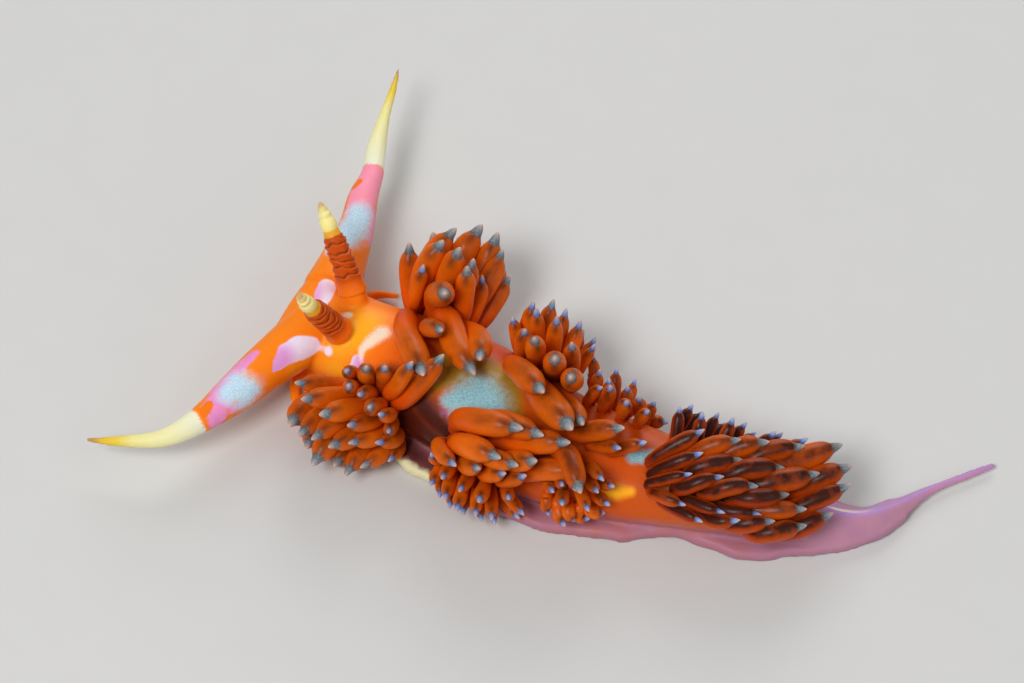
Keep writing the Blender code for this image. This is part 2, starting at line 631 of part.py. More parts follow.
def off_the_body(points, girth):
    """Moves points that lie in the body, the foot or the floor out of them."""
    flat = points.reshape(-1, 3).copy()
    away = ((flat[:, None, :2] - BACK[None, :, :]) ** 2).sum(axis=2)
    nearest = away.argmin(axis=1)
    tangent = np.gradient(BACK, axis=0)
    tangent /= np.linalg.norm(tangent, axis=1, keepdims=True)
    side = np.stack([tangent[:, 1], -tangent[:, 0]], axis=1)[nearest]
    out = ((flat[:, :2] - BACK[nearest]) * side).sum(axis=1)
    width, top, low, foot = BODY_SIZES[nearest].T
    middle = low + WAIST * (top - low)
    wide, tall = width + girth + GAP, top - middle + girth + GAP
    up = np.maximum(flat[:, 2] - middle, 0.0)
    inside = np.sqrt((out / wide) ** 2 + (up / tall) ** 2)
    share = np.clip(1.0 / np.maximum(inside, 0.15), 1.0, 1.15)
    flat[:, :2] += side * (out * (share - 1))[:, None]
    flat[:, 2] += up * (share - 1)
    floor = np.where(np.abs(out) < foot + girth + GAP, FOOT_TOP, 0.0) + girth + GAP
    flat[:, 2] = np.maximum(flat[:, 2], floor)
    return flat.reshape(points.shape)


BODY_SIZES = np.array([
    (size_at(HALF_WIDTH, s), size_at(CROWN, s), belly_at(s), size_at(FOOT_HALF_WIDTH, s))
    for s in BACK_STATIONS
])


def fixed_parts():
    """Points with radii along the tentacles and rhinophores, which the cerata keep clear of."""
    found = []
    for rows in (LEFT_TENTACLE, RIGHT_TENTACLE, LEFT_RHINOPHORE, RIGHT_RHINOPHORE):
        found.append(evenly(rounded_line(rows, LINE_STEPS) * MM, 14))
    return np.concatenate(found)


def make_cerata():
    """A mesh for each settled ceras, listed by the node that it grows from."""
    cerata = bunch_cerata()
    settled = settle(cerata, fixed_parts())
    found = {}
    for k, (node, _, girth) in enumerate(cerata):
        line = rounded_line(settled[k], 8)
        rows = np.array([evenly(line, 2, 0.0, share)[-1] if share else line[0]
                         for share in CERAS_RINGS])
        radii = [girth * smooth_value(CERAS_SHAPE, share) for share in CERAS_RINGS]
        found.setdefault(node, []).append(tube(f"ceras_{k}", CERATA_SKIN, rows, radii, 1))
    return found


def foot_corners():
    """The foot's two front corners, drawn out into short feelers that lie on the floor."""
    made = []
    for side in (LEFT, RIGHT):
        rows = [(*place(along * MM, side * out * MM, up * MM), radius * MM)
                for along, out, up, radius in FOOT_CORNERS]
        found = evenly(rounded_line(rows, 6), 7)
        made.append(tube("foot_corner", FOOT_SKIN, found[:, :3], found[:, 3], 2))
    return made


def make_body():
    cerata = make_cerata()
    for name, span in BODY_SPANS.items():
        count = max(4, round((span[1] - span[0]) / 0.95))
        skin = CERATA_SKIN if name in cerata else BACK_SKIN
        length = loft(name, skin, flank, stations_of(span, count), BODY_SIDES)
        fuse(length, cerata.get(name, []))
    for name, span in TAIL_SPANS.items():
        loft(name, FOOT_SKIN, tail_skin, stations_of(span, 8), TAIL_SIDES)
    for name, span in FOOT_SPANS.items():
        count = 12 if name == "foot_front" else 10
        foot = loft(name, FOOT_SKIN, foot_skin, stations_of(span, count), FOOT_SIDES)
        if name == "foot_front":
            fuse(foot, foot_corners())


def clear_scene():
    for found in list(bpy.data.objects):
        bpy.data.objects.remove(found)


clear_scene()
ANIMAL = bpy.data.collections.new("aeolid_nudibranch")
bpy.context.scene.collection.children.link(ANIMAL)
make_head()
make_body()
for made in ANIMAL.objects:
    made.data.transform(Matrix.Translation(CENTRING))
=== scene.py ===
import math
import random

import bmesh
import bpy
import numpy as np
from bpy.props import FloatProperty, FloatVectorProperty, IntProperty, PointerProperty
from mathutils import Matrix, Vector


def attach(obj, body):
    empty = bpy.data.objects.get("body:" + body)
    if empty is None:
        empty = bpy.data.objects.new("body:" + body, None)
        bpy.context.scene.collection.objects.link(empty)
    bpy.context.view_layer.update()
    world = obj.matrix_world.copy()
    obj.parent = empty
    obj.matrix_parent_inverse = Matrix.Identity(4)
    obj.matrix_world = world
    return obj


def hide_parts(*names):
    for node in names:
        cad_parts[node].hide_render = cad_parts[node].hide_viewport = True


bl_info = {
    "name": "Aeolid Nudibranch Model",
    "version": (1, 0, 0),
    "blender": (4, 5, 0),
    "location": "3D View > Sidebar > Nudibranch",
    "description": "Builds a life-size crawling aeolid nudibranch around its packed solids",
    "category": "Add Mesh",
}

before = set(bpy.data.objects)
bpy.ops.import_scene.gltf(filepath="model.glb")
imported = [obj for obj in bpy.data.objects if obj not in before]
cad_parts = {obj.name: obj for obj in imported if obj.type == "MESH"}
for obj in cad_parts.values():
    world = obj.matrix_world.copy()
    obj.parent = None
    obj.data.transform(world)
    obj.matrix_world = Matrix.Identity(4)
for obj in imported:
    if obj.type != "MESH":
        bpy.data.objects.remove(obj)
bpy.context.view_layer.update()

MM = 0.001
UP = Vector((0.0, 0.0, 1.0))

# How far the finished animal moves so that the middle of its box stands over the origin
CENTRING = Vector((0.0, -0.66, 0.0)) * MM
FLOOR_REACH = 1.5
# Where the camera and the lights look
TARGET = Vector((-0.0019, -0.0003, 0.0)) + CENTRING
LEFT, RIGHT = 1, -1
FULL_TURN = 2 * math.pi
# Keeps a length that others are divided by from being nothing
TINY = 1e-12

# The line that the back follows, seen from above, from the front of the head to the tip of the tail
BACK_LINE = [
    (-16.3, 0.7), (-10.3, -2.9), (-4.4, -6.7), (1.1, -10.3), (6.5, -12.2),
    (12.8, -13.8), (19.2, -14.9), (22.0, -13.95), (24.6, -12.2), (28.9, -10.2),
]
LINE_STEPS = 24
# Every so many points of the back's line are enough to find the nearest
BACK_SKIP = 4

# Station along the back and size there, both in millimetres
HALF_WIDTH = [
    (0, 0.9), (0.5, 1.9), (1.6, 2.7), (3.4, 3.1), (5.5, 3.2), (8, 3.6), (11, 4.0), (14, 4.2),
    (18, 4.1), (22, 3.8), (26, 3.3), (30, 2.7), (35, 2.2), (37, 1.8), (38.5, 1.5), (40, 1.28),
    (41.5, 1.08), (43, 0.78), (44.3, 0.5), (46, 0.32), (49.2, 0.27), (50.2, 0.2),
]
CROWN = [
    (0, 2.7), (0.5, 3.3), (2, 4.1), (5, 4.6), (9, 5.0), (14, 5.5), (20, 5.2), (26, 4.6),
    (32, 4.0), (35, 3.2), (37, 2.5), (38.5, 2.05), (40, 1.75), (41.5, 1.5), (43, 1.2),
    (44.3, 0.85), (46, 0.62), (49.2, 0.5), (50.2, 0.42),
]
FOOT_HALF_WIDTH = [
    (0.8, 1.6), (1.6, 2.7), (4, 3.2), (8, 4.2), (11, 5.2), (13, 5.5), (18, 5.2), (22, 4.6),
    (26, 3.8), (29.3, 2.7), (33, 3.4), (36.5, 2.5), (39.2, 1.6), (41, 1.2), (43, 0.82),
]
FOOT_TOP = 0.8 * MM
FOOT_RIM = 0.5 * MM
BELLY = 0.35 * MM
HEAD_LIFT = 0.8 * MM
HEAD_LIFT_LENGTH = 3.0 * MM
WAIST = 0.42

# Powers and shares that shape the body's section: below 1 is fuller than an ellipse
BODY_FULLNESS, TAIL_FULLNESS = 0.85, 1.4
CROWN_FULLNESS, RIDGE_FULLNESS = 0.95, 1.3
BELLY_FLATNESS, BELLY_CURVE, BELLY_SHARE = 1.25, 0.6, 0.9
FOOT_FULLNESS, FOOT_SHOULDER = 0.8, 2.2
TAIL_FROM, TAIL_WHOLE = 33.0 * MM, 41.0 * MM
# How wide the pale line's zone on the tail is, and how far right of the middle it lies
CREST_WIDTH, CREST_ASIDE = 1.3 * MM, 0.35 * MM
BODY_END, FOOT_START, FOOT_END = 50.2, 0.8, 43.0

# Each row of a feeler's line is x, y, z and radius in millimetres, from inside the head to the tip
LEFT_TENTACLE = [
    (-14.6, -1.4, 3.0, 1.9), (-17.8, -4.6, 3.1, 1.5), (-19.4, -6.4, 3.2, 1.3),
    (-21.8, -8.7, 3.2, 0.85), (-24.1, -9.9, 3.0, 0.57), (-26.9, -9.9, 2.7, 0.33),
    (-28.9, -9.6, 2.4, 0.12),
]
RIGHT_TENTACLE = [
    (-13.6, 1.6, 3.0, 1.9), (-12.9, 3.8, 3.1, 1.55), (-12.1, 6.4, 3.3, 1.2),
    (-11.7, 8.7, 3.5, 1.0), (-11.1, 10.7, 3.6, 0.74), (-10.9, 12.6, 3.7, 0.67),
    (-10.4, 15.3, 3.8, 0.39), (-9.9, 17.4, 3.8, 0.26), (-9.5, 19.5, 3.7, 0.1),
]
BROW = [(-16.2, -2.4, 3.0, 1.3), (-14.9, 0.2, 3.0, 1.35), (-13.2, 3.0, 3.1, 1.3)]
LEFT_RHINOPHORE = [
    (-12.5, -2.3, 3.3, 0.95), (-12.9, -2.7, 4.5, 0.85), (-13.7, -3.1, 6.4, 0.62),
    (-14.6, -3.6, 8.5, 0.55), (-15.3, -4.0, 10.4, 0.3),
]
RIGHT_RHINOPHORE = [
    (-12.0, -0.4, 3.3, 0.95), (-12.1, 0.2, 4.5, 0.85), (-12.7, 1.4, 6.2, 0.62),
    (-13.5, 2.8, 7.9, 0.55), (-14.2, 4.0, 9.4, 0.3),
]
RHINOPHORE_ROOT = 0.25
CLUB_FROM = 0.20

# Share along a rhinophore's club and its radius there in millimetres
CLUB_SHAPE = [
    (0.0, 0.98), (0.1, 0.86), (0.25, 0.77), (0.5, 0.72), (0.6, 0.67), (0.64, 0.57), (0.70, 0.50),
    (0.74, 0.55), (0.80, 0.51), (0.83, 0.42), (0.87, 0.43), (0.90, 0.32), (0.93, 0.32),
    (0.96, 0.2), (0.985, 0.14), (1.0, 0.0),
]
LAMELLAE = 6
LAMELLAE_SPAN = (0.12, 0.62)
LAMELLA_DEPTH = 0.17 * MM

# Rings along and faces round each fleshy part before they are fused
BODY_MESH, FOOT_MESH, TENTACLE_MESH = (130, 56), (110, 40), (60, 28)
STALK_MESH, BROW_MESH, CORNER_MESH = (10, 28), (24, 24), (14, 16)
CORNER_STEPS = 6

# How far each point moves to its neighbours' middle in a round of smoothing, and back again
SOFTEN_STEP, SWELL_STEP = 0.5, -0.52

# Station, distance out and height of each lip, and its half sizes along, across and up
LIPS_AT = (0.5, 0.5, 1.9)
LIP_SIZE = (0.75, 0.62, 0.95)

# Station, distance out, height and radius of the foot's drawn-out front corners, in millimetres
FOOT_CORNERS = [
    (2.6, 2.4, 0.5, 0.48), (2.7, 3.7, 0.48, 0.42), (3.5, 4.9, 0.45, 0.3), (4.8, 5.6, 0.42, 0.16),
]

# Rows of cerata, from the inner to the outer: turn from straight up in degrees, count, first and
# last station, and where the first, the middle and the last tip stand (x, y, z), in millimetres
BUNCHES = {
    ("body_shoulder", LEFT): [
        (54, 5, 7.8, 10.8, (-12.4, -7.5, 7.5), (-9.6, -8.1, 8.2), (-6.5, -7.0, 7.4)),
        (68, 4, 8.0, 10.6, (-12.0, -8.6, 7.0), (-11.1, -9.6, 6.8), (-10.2, -10.2, 6.2)),
        (84, 5, 7.3, 10.7, (-15.4, -7.2, 5.0), (-13.7, -10.1, 6.0), (-9.5, -10.7, 4.6)),
        (96, 6, 7.4, 10.7, (-16.1, -9.4, 3.6), (-14.0, -11.0, 3.9), (-10.4, -10.8, 3.6)),
        (108, 6, 7.8, 10.4, (-15.0, -10.2, 2.2), (-13.0, -11.7, 1.8), (-10.0, -10.9, 1.8)),
    ],
    ("body_shoulder", RIGHT): [
        (24, 2, 7.8, 10.0, (-7.8, -7.4, 7.4), (-7.0, -6.3, 8.4), (-6.3, -5.3, 9.0)),
        (34, 2, 9.6, 10.9, (-4.3, -7.0, 7.0), (-4.2, -7.0, 7.6), (-4.1, -6.9, 8.2)),
        (50, 3, 7.5, 10.8, (-7.6, 0.0, 8.2), (-6.2, -3.6, 10.2), (-4.6, -0.8, 9.2)),
        (64, 4, 7.3, 11.2, (-6.3, 1.4, 8.4), (-4.9, 0.4, 8.6), (-3.9, 0.2, 7.0)),
        (80, 5, 7.3, 11.2, (-5.6, 3.7, 7.0), (-3.0, 3.7, 6.6), (-2.2, 1.4, 5.0)),
        (96, 4, 7.5, 10.8, (-8.5, 3.1, 5.2), (-6.0, 4.0, 5.2), (-2.6, 3.2, 4.2)),
    ],
    ("body_middle", LEFT): [
        (50, 3, 15.3, 17.8, (-0.9, -13.0, 8.4), (0.2, -13.0, 8.0), (1.4, -13.3, 7.4)),
        (60, 4, 15.3, 19.4, (-2.6, -14.3, 7.4), (-0.8, -14.6, 7.4), (1.6, -14.3, 7.0)),
        (70, 4, 15.2, 19.4, (-5.2, -14.4, 6.2), (-3.0, -15.0, 6.6), (-0.5, -15.0, 6.4)),
        (80, 5, 15.2, 19.2, (-6.8, -12.4, 5.4), (-5.3, -15.2, 4.8), (-2.0, -15.8, 5.0)),
        (90, 6, 15.1, 19.2, (-6.9, -13.6, 3.4), (-4.9, -15.5, 2.9), (-1.4, -15.6, 2.8)),
        (102, 6, 15.3, 19.0, (-6.6, -13.6, 1.7), (-4.6, -15.0, 1.4), (-1.2, -14.9, 1.3)),
    ],
    ("body_middle", RIGHT): [
        (24, 3, 15.8, 18.8, (-0.1, -10.9, 9.2), (1.6, -13.1, 8.8), (2.3, -11.8, 8.0)),
        (40, 4, 15.4, 19.4, (-1.2, -5.6, 9.2), (0.2, -8.0, 10.1), (1.6, -9.8, 9.6)),
        (56, 4, 15.0, 18.9, (-2.0, -3.4, 7.0), (0.2, -3.8, 8.6), (2.0, -6.4, 8.2)),
        (71, 5, 14.9, 18.9, (-0.6, -2.2, 7.2), (1.6, -2.4, 6.9), (3.2, -4.9, 6.2)),
        (86, 5, 15.1, 18.7, (-0.8, -1.0, 5.0), (1.4, -1.5, 4.6), (3.6, -3.3, 4.2)),
    ],
    ("body_rear", LEFT): [
        (8, 3, 21.2, 24.4, (4.6, -12.7, 8.2), (4.8, -13.6, 7.6), (6.6, -12.5, 6.6)),
        (22, 2, 20.9, 22.8, (2.2, -16.4, 7.2), (2.9, -15.7, 6.8), (3.6, -15.0, 6.4)),
        (42, 4, 21.4, 24.2, (1.4, -15.2, 5.8), (2.6, -15.9, 5.8), (4.6, -15.0, 5.2)),
        (58, 4, 21.4, 24.0, (0.5, -15.2, 4.6), (2.1, -16.2, 4.8), (4.2, -15.8, 4.0)),
        (76, 5, 21.5, 23.8, (0.7, -15.4, 2.4), (2.4, -15.9, 2.4), (4.0, -15.2, 2.6)),
    ],
    ("body_rear", RIGHT): [
        (32, 4, 21.4, 25.2, (3.8, -8.8, 7.6), (4.6, -10.0, 8.0), (6.5, -10.6, 7.0)),
        (50, 4, 21.4, 25.3, (3.5, -6.6, 6.2), (4.8, -7.6, 6.4), (6.3, -8.5, 6.0)),
        (66, 4, 21.4, 25.4, (3.0, -4.6, 4.8), (5.2, -6.0, 4.8), (7.2, -7.7, 4.4)),
        (82, 4, 21.7, 25.2, (3.2, -4.8, 3.0), (5.6, -6.6, 3.0), (7.6, -8.4, 2.8)),
    ],
    ("body_hind", LEFT): [
        (6, 5, 26.6, 33.6, (9.8, -11.7, 6.6), (14.6, -12.6, 6.0), (19.0, -11.8, 5.2)),
        (18, 5, 27.0, 34.2, (10.0, -13.4, 6.3), (15.2, -14.0, 5.4), (19.2, -13.2, 5.2)),
        (30, 5, 27.0, 34.4, (9.6, -14.9, 5.5), (14.5, -15.1, 5.1), (19.0, -14.6, 4.7)),
        (40, 5, 27.2, 34.4, (8.8, -15.9, 4.8), (13.8, -16.3, 4.7), (18.9, -15.7, 4.2)),
        (50, 4, 27.8, 33.4, (9.6, -17.0, 4.3), (13.6, -17.2, 4.3), (17.6, -16.9, 3.8)),
    ],
    ("body_hind", RIGHT): [
        (18, 5, 27.8, 33.8, (8.4, -9.7, 6.5), (12.3, -10.6, 6.1), (16.8, -11.5, 5.5)),
        (36, 5, 27.5, 34.6, (9.5, -8.9, 5.2), (12.9, -10.0, 5.0), (17.4, -11.4, 4.2)),
        (54, 5, 27.8, 35.0, (10.2, -8.6, 3.8), (13.3, -9.6, 3.4), (17.6, -11.4, 2.8)),
        (72, 5, 28.2, 34.8, (10.8, -8.6, 2.3), (13.8, -9.9, 2.1), (17.7, -11.7, 1.7)),
    ],
}

# How dark the gland inside the cerata of each bunch is
DARK_CORES = {"body_shoulder": 0.42, "body_middle": 0.40, "body_rear": 0.60, "body_hind": 1.15}

# A ceras: how many points its line has, how deep its root sits, how far it stands out squarely,
# how strongly it bends, and how far its root's place, its turn and its girth wander
CERAS_POINTS = 9
CERAS_SUNK = 0.55 * MM
CERAS_STEM = 0.3 * MM
CERAS_STEPS = 8
CERAS_BEND = 0.5
FLATTER_BEND = {"body_middle": 0.24, "body_hind": 0.2}
ROOT_WANDER = 0.12
TURN_WANDER = 4
GIRTH_VARIES = 0.08
TURN_STEP = 0.06
CERAS_SLIMMEST, ROOT_SHARE = 0.3, 0.08
RINGS_CROWD = 1.5
BULGES, BULGE_MOST = 9, 0.05
TONE_VARIES = (0.6, 1.3)

# Share along a ceras and its radius there as a share of its girth
CERAS_SHAPE = [
    (0.0, 0.54), (0.1, 0.66), (0.3, 0.87), (0.5, 0.98), (0.68, 1.0), (0.78, 0.93), (0.84, 0.75),
    (0.87, 0.56), (0.89, 0.44), (0.92, 0.37), (0.95, 0.29), (0.975, 0.18), (0.99, 0.09), (1.0, 0.0),
]

# Where the grey cap begins on that shape, and its length on the real ceras
CAP_FROM = 0.88
CAP_LENGTH = 0.15 * MM
CAP_SHARE = 0.09
# Between these girths a cap turns from blue to grey
SMALL_GIRTH, LARGE_GIRTH = 0.46 * MM, 0.62 * MM
# The lighter side edges of the cerata are told from this one direction: painted light, as if shining
# through their thin edges
RIM_LIGHT_SEEN_FROM = (0.0, -0.35, 0.94)

# How the cerata settle: rounds, how often neighbours are looked for and how far off, the room
# between them and round other parts, how far each push goes, and how strongly each ceras springs
# back to its first place and stays smooth, and how deep in the body a point can count as lying
# and how far it is moved out at once
SETTLE_ROUNDS = 240
NEIGHBOURS_EVERY, NEIGHBOURS_WITHIN = 20, 1.2 * MM
ROOM_BETWEEN, ROOM_ROUND = 0.02 * MM, 0.1 * MM
PUSH_APART, PUSH_OFF = 0.3, 0.5
LONGEST_PUSH = 0.25 * MM
SPRING, SPRING_UNTIL = 0.03, 0.7
SMOOTHING = 0.2
DEEPEST_IN, MOST_SPREAD = 0.15, 1.15
FIXED_POINTS = 14

# The side of a ceras's patch on its bake map
ROOT_PATCH = 0.003

# The share of each tentacle's length where its cream end begins, and how far back the cream's
# zone can lie and how far off the tentacle
CREAM_FROM = {"left": 0.58, "right": 0.53}
CREAM_UNTIL = -8.5 * MM
CREAM_NEAR, CREAM_ROUND = 0.3 * MM, 1.4
FEELER_POINTS = 160

# The waves of the foot's margin: how far out and up they go, how long they are, and the stations
# where they start, are whole, begin to fade and end
RIPPLE = 0.07 * MM
RIPPLE_LENGTH = 4.2 * MM
RIPPLE_LIFT = 0.12 * MM
RIPPLE_ZONE = (6 * MM, 10 * MM, 40 * MM, 46 * MM)
RIPPLE_INNER = 0.6
MARGIN_TOP, MARGIN_SOFT = 1.5 * MM, 0.9 * MM

# The veil of foot colour: how high it reaches, how softly it ends, and where it starts and is whole
VEIL_TOP, VEIL_SOFT = 3.0 * MM, 2.4 * MM
VEIL_FROM, VEIL_WHOLE = 8 * MM, 14 * MM
VEIL_SHARE = 0.85
TAIL_VEIL_SOFT = 6 * MM

# Strokes painted on the skin, each as rows of x, y, z and radius in millimetres
MARKS = {
    "ember": [
        [(-15.0, -6.4, 2.2, 1.0), (-18.4, -8.6, 2.2, 1.0), (-21.0, -10.4, 2.4, 0.8)],
        [(-3.6, -3.3, 4.5, 0.9), (-2.7, -5.6, 5.3, 1.0)],
    ],
    # Golden patches: partly real yellow, partly a painted highlight near the rhinophores
    "gold_and_highlight": [
        [(-12.9, -3.6, 4.3, 1.0), (-12.1, -3.1, 4.7, 1.2), (-11.2, -2.1, 4.7, 1.1)],
        [(-15.5, -5.3, 3.6, 0.6), (-14.6, -5.1, 3.5, 1.0), (-13.6, -5.2, 3.3, 1.1)],
        [(3.6, -14.5, 3.7, 0.3), (4.5, -14.5, 3.8, 0.45), (5.5, -14.5, 3.9, 0.3)],
    ],
    "olive": [
        [(-7.3, -6.9, 5.1, 1.0), (-6.0, -6.3, 5.4, 1.4), (-4.0, -6.2, 5.5, 1.3),
         (-2.4, -7.5, 5.5, 1.1), (-2.1, -9.5, 5.2, 0.9)],
    ],
    # Dark maroon of the left flank: partly real colour, partly painted shade where the flank lies in
    # shadow
    "maroon_and_shade": [
        [(-9.8, -6.4, 4.4, 0.9), (-8.8, -8.2, 3.6, 1.5), (-7.6, -9.6, 2.8, 1.7),
         (-5.8, -10.9, 2.8, 1.4)],
        [(-9.6, -8.6, 1.6, 1.0), (-8.0, -9.8, 1.5, 1.1), (-6.0, -11.3, 1.5, 1.0)],
        [(-8.4, -7.2, 4.6, 0.9), (-7.5, -8.5, 4.4, 1.0), (-6.5, -9.8, 4.2, 0.9),
         (-5.4, -10.8, 4.0, 0.8)],
    ],
    "blush": [
        [(-18.2, -4.4, 4.2, 0.4), (-19.0, -5.2, 4.2, 0.5), (-19.9, -6.2, 4.2, 0.5),
         (-20.6, -7.1, 4.1, 0.5)],
        [(-20.1, -7.3, 4.2, 0.7), (-20.7, -8.2, 4.0, 0.8), (-20.5, -9.1, 3.4, 0.6)],
        [(-19.4, -8.5, 3.8, 0.6), (-18.6, -8.0, 3.8, 0.6), (-17.4, -7.0, 3.9, 0.5),
         (-16.5, -6.2, 3.9, 0.2)],
    ],
    "rose": [
        [(-12.0, 7.0, 4.4, 0.9), (-11.6, 8.4, 4.5, 1.1), (-11.4, 9.9, 4.3, 1.3)],
        [(-10.9, 7.0, 3.9, 0.6), (-11.0, 5.2, 3.8, 0.5)],
    ],
    "pearl": [
        [(-17.0, -5.5, 4.2, 0.2), (-16.7, -5.0, 4.3, 0.45), (-16.2, -4.3, 4.4, 0.7),
         (-15.4, -3.9, 4.4, 0.85), (-14.6, -3.8, 4.3, 0.8), (-13.9, -4.0, 4.2, 0.65),
         (-13.4, -4.5, 4.0, 0.35)],
        [(-14.2, -0.5, 4.2, 0.35), (-14.1, 0.3, 4.1, 0.6), (-13.9, 1.1, 4.0, 0.6),
         (-13.6, 1.7, 3.9, 0.35)],
        [(-11.8, -4.8, 4.3, 0.45), (-12.1, -5.5, 3.9, 0.6), (-12.3, -6.1, 3.2, 0.4)],
    ],
    "haze": [
        [(-12.9, -1.7, 4.4, 0.35), (-12.4, -1.4, 4.5, 0.25)],
        [(-10.2, -3.0, 4.9, 0.5), (-10.9, -3.6, 4.8, 0.4), (-11.5, -4.1, 4.6, 0.25),
         (-11.6, -4.9, 4.4, 0.15)],
    ],
    "lilac": [
        [(-17.4, -5.4, 4.3, 0.8), (-16.6, -4.6, 4.4, 0.8)],
        [(-14.8, 0.0, 4.1, 0.45), (-14.5, 0.9, 4.0, 0.45)],
        [(-11.5, -4.8, 4.3, 0.5), (-11.7, -5.5, 3.9, 0.5)],
        [(-4.4, -10.6, 4.3, 0.22), (-5.5, -9.9, 4.5, 0.25), (-6.6, -8.6, 4.7, 0.2)],
    ],
    "frost": [
        [(-19.9, -7.3, 4.2, 0.7), (-19.3, -6.8, 4.3, 1.0), (-18.7, -7.2, 4.2, 1.1),
         (-18.2, -7.3, 4.1, 0.9)],
        [(-13.4, 3.9, 4.4, 0.6), (-12.8, 4.8, 4.5, 0.95), (-12.3, 5.7, 4.5, 1.15),
         (-11.8, 6.7, 4.5, 0.95)],
        [(-5.8, -8.4, 5.1, 0.6), (-5.0, -8.5, 5.2, 1.1), (-4.0, -8.2, 5.5, 1.4),
         (-3.5, -8.8, 5.5, 1.3)],
        [(-4.9, -9.5, 5.0, 0.8), (-3.8, -9.5, 5.2, 1.2)],
        [(5.7, -12.4, 4.6, 0.4), (6.8, -12.3, 4.6, 0.5)],
    ],
    "cream": [
        [(-10.6, -9.6, 0.6, 0.7), (-9.2, -10.8, 0.6, 1.0), (-7.6, -12.0, 0.6, 1.0)],
    ],
    "spot": [
        [(-21.1, -8.1, 4.0, 0.35), (-21.4, -8.6, 3.9, 0.35)],
        [(-12.3, 9.2, 4.2, 0.3), (-12.0, 9.5, 4.3, 0.3)],
    ],
}


class SkinSettings(bpy.types.PropertyGroup):
    grain: FloatProperty(
        name="Grain", description="Size of the skin's mesh faces", default=0.138 * MM,
        unit="LENGTH", precision=5,
    )
    softening: IntProperty(
        name="Softening", description="Rounds of smoothing where the parts meet", default=18,
    )
    gold: FloatVectorProperty(
        name="Head gold", description="Colour of the head and neck", subtype="COLOR",
        default=(0.98, 0.235, 0.006),
    )
    foot: FloatVectorProperty(
        name="Foot veil", description="Colour of the foot's margin", subtype="COLOR",
        default=(0.46, 0.15, 0.10),
    )
    tail: FloatVectorProperty(
        name="Tail veil", description="Colour of the tail and its margin", subtype="COLOR",
        default=(0.54, 0.25, 0.31),
    )


class RhinophoreSettings(bpy.types.PropertyGroup):
    sides: IntProperty(name="Sides", description="Faces round a rhinophore", default=48)
    rings: IntProperty(name="Rings", description="Faces along a rhinophore", default=150)
    rust: FloatVectorProperty(
        name="Rust", description="Colour of the lamellae", subtype="COLOR",
        default=(0.58, 0.085, 0.004),
    )


class CerataSettings(bpy.types.PropertyGroup):
    seed: IntProperty(name="Seed", description="Changes how the cerata vary", default=12)
    girth: FloatProperty(
        name="Girth", description="Radius of a ceras as a share of its length", default=0.125,
    )
    least_girth: FloatProperty(
        name="Least girth", description="Radius of the thinnest ceras", default=0.42 * MM,
        unit="LENGTH", precision=5,
    )
    wander: FloatProperty(
        name="Wander", description="How far the tips stray from their rows", default=0.22 * MM,
        unit="LENGTH", precision=5,
    )
    sides: IntProperty(name="Sides", description="Faces round a ceras", default=20)
    rings: IntProperty(name="Rings", description="Faces along a ceras", default=34)


class StageSettings(bpy.types.PropertyGroup):
    elevation: FloatProperty(
        name="Camera elevation", description="Angle of the camera above the floor",
        default=math.radians(55), unit="ROTATION",
    )
    distance: FloatProperty(
        name="Camera distance", description="From the camera to the model", default=0.28,
        unit="LENGTH",
    )
    lens: FloatProperty(name="Lens", description="Focal length in millimetres", default=151.0)
    floor_tone: FloatVectorProperty(
        name="Floor", description="Colour of the floor", subtype="COLOR",
        default=(0.62, 0.61, 0.59),
    )


def blend(a, b, share):
    """The value that far from a to b."""
    return a + (b - a) * share


def ease(value):
    """0 to 1 with a soft start and end, for a number or an array."""
    value = np.clip(value, 0.0, 1.0)
    return value * value * (3 - 2 * value)


def smooth_value(table, at):
    """A size read from rows of (place, value) by a smooth curve through them."""
    places = [row[0] for row in table]
    if at <= places[0]:
        return table[0][1]
    if at >= places[-1]:
        return table[-1][1]
    i = max(k for k, place in enumerate(places) if place <= at)
    slopes = []
    for k in (i, i + 1):
        low, high = max(k - 1, 0), min(k + 1, len(table) - 1)
        slopes.append((table[high][1] - table[low][1]) / (places[high] - places[low]))
    span = places[i + 1] - places[i]
    t = (at - places[i]) / span
    return (
        (2 * t**3 - 3 * t**2 + 1) * table[i][1]
        + (t**3 - 2 * t**2 + t) * span * slopes[0]
        + (3 * t**2 - 2 * t**3) * table[i + 1][1]
        + (t**3 - t**2) * span * slopes[1]
    )


def rounded_line(rows, steps):
    """A smooth curve through the rows, as an array with steps points to each span."""
    rows = np.array(rows, float)
    rows = np.vstack([2 * rows[0] - rows[1], rows, 2 * rows[-1] - rows[-2]])
    found = []
    for k in range(1, len(rows) - 2):
        a, b, c, d = rows[k - 1:k + 3]
        for t in np.arange(steps) / steps:
            found.append(
                0.5 * (2 * b + (c - a) * t + (2 * a - 5 * b + 4 * c - d) * t**2
                       + (3 * b - a - 3 * c + d) * t**3)
            )
    found.append(rows[-2])
    return np.array(found)


def evenly(line, count, start=0.0, end=1.0):
    """count points of a line, evenly spaced by length between two shares of it."""
    return at_shares(line, np.linspace(start, end, count))


def at_shares(line, places):
    """The points of a line at shares of its length."""
    steps = np.linalg.norm(np.diff(line[:, :3], axis=0), axis=1)
    along = np.concatenate([[0.0], np.cumsum(steps)])
    along /= along[-1]
    return np.stack([np.interp(places, along, line[:, k]) for k in range(line.shape[1])], axis=1)


BACK = rounded_line(BACK_LINE, LINE_STEPS) * MM
BACK_STATIONS = np.concatenate([[0.0], np.cumsum(np.linalg.norm(np.diff(BACK, axis=0), axis=1))])
BACK_AHEAD = np.gradient(BACK, axis=0)
BACK_AHEAD /= np.linalg.norm(BACK_AHEAD, axis=1, keepdims=True)


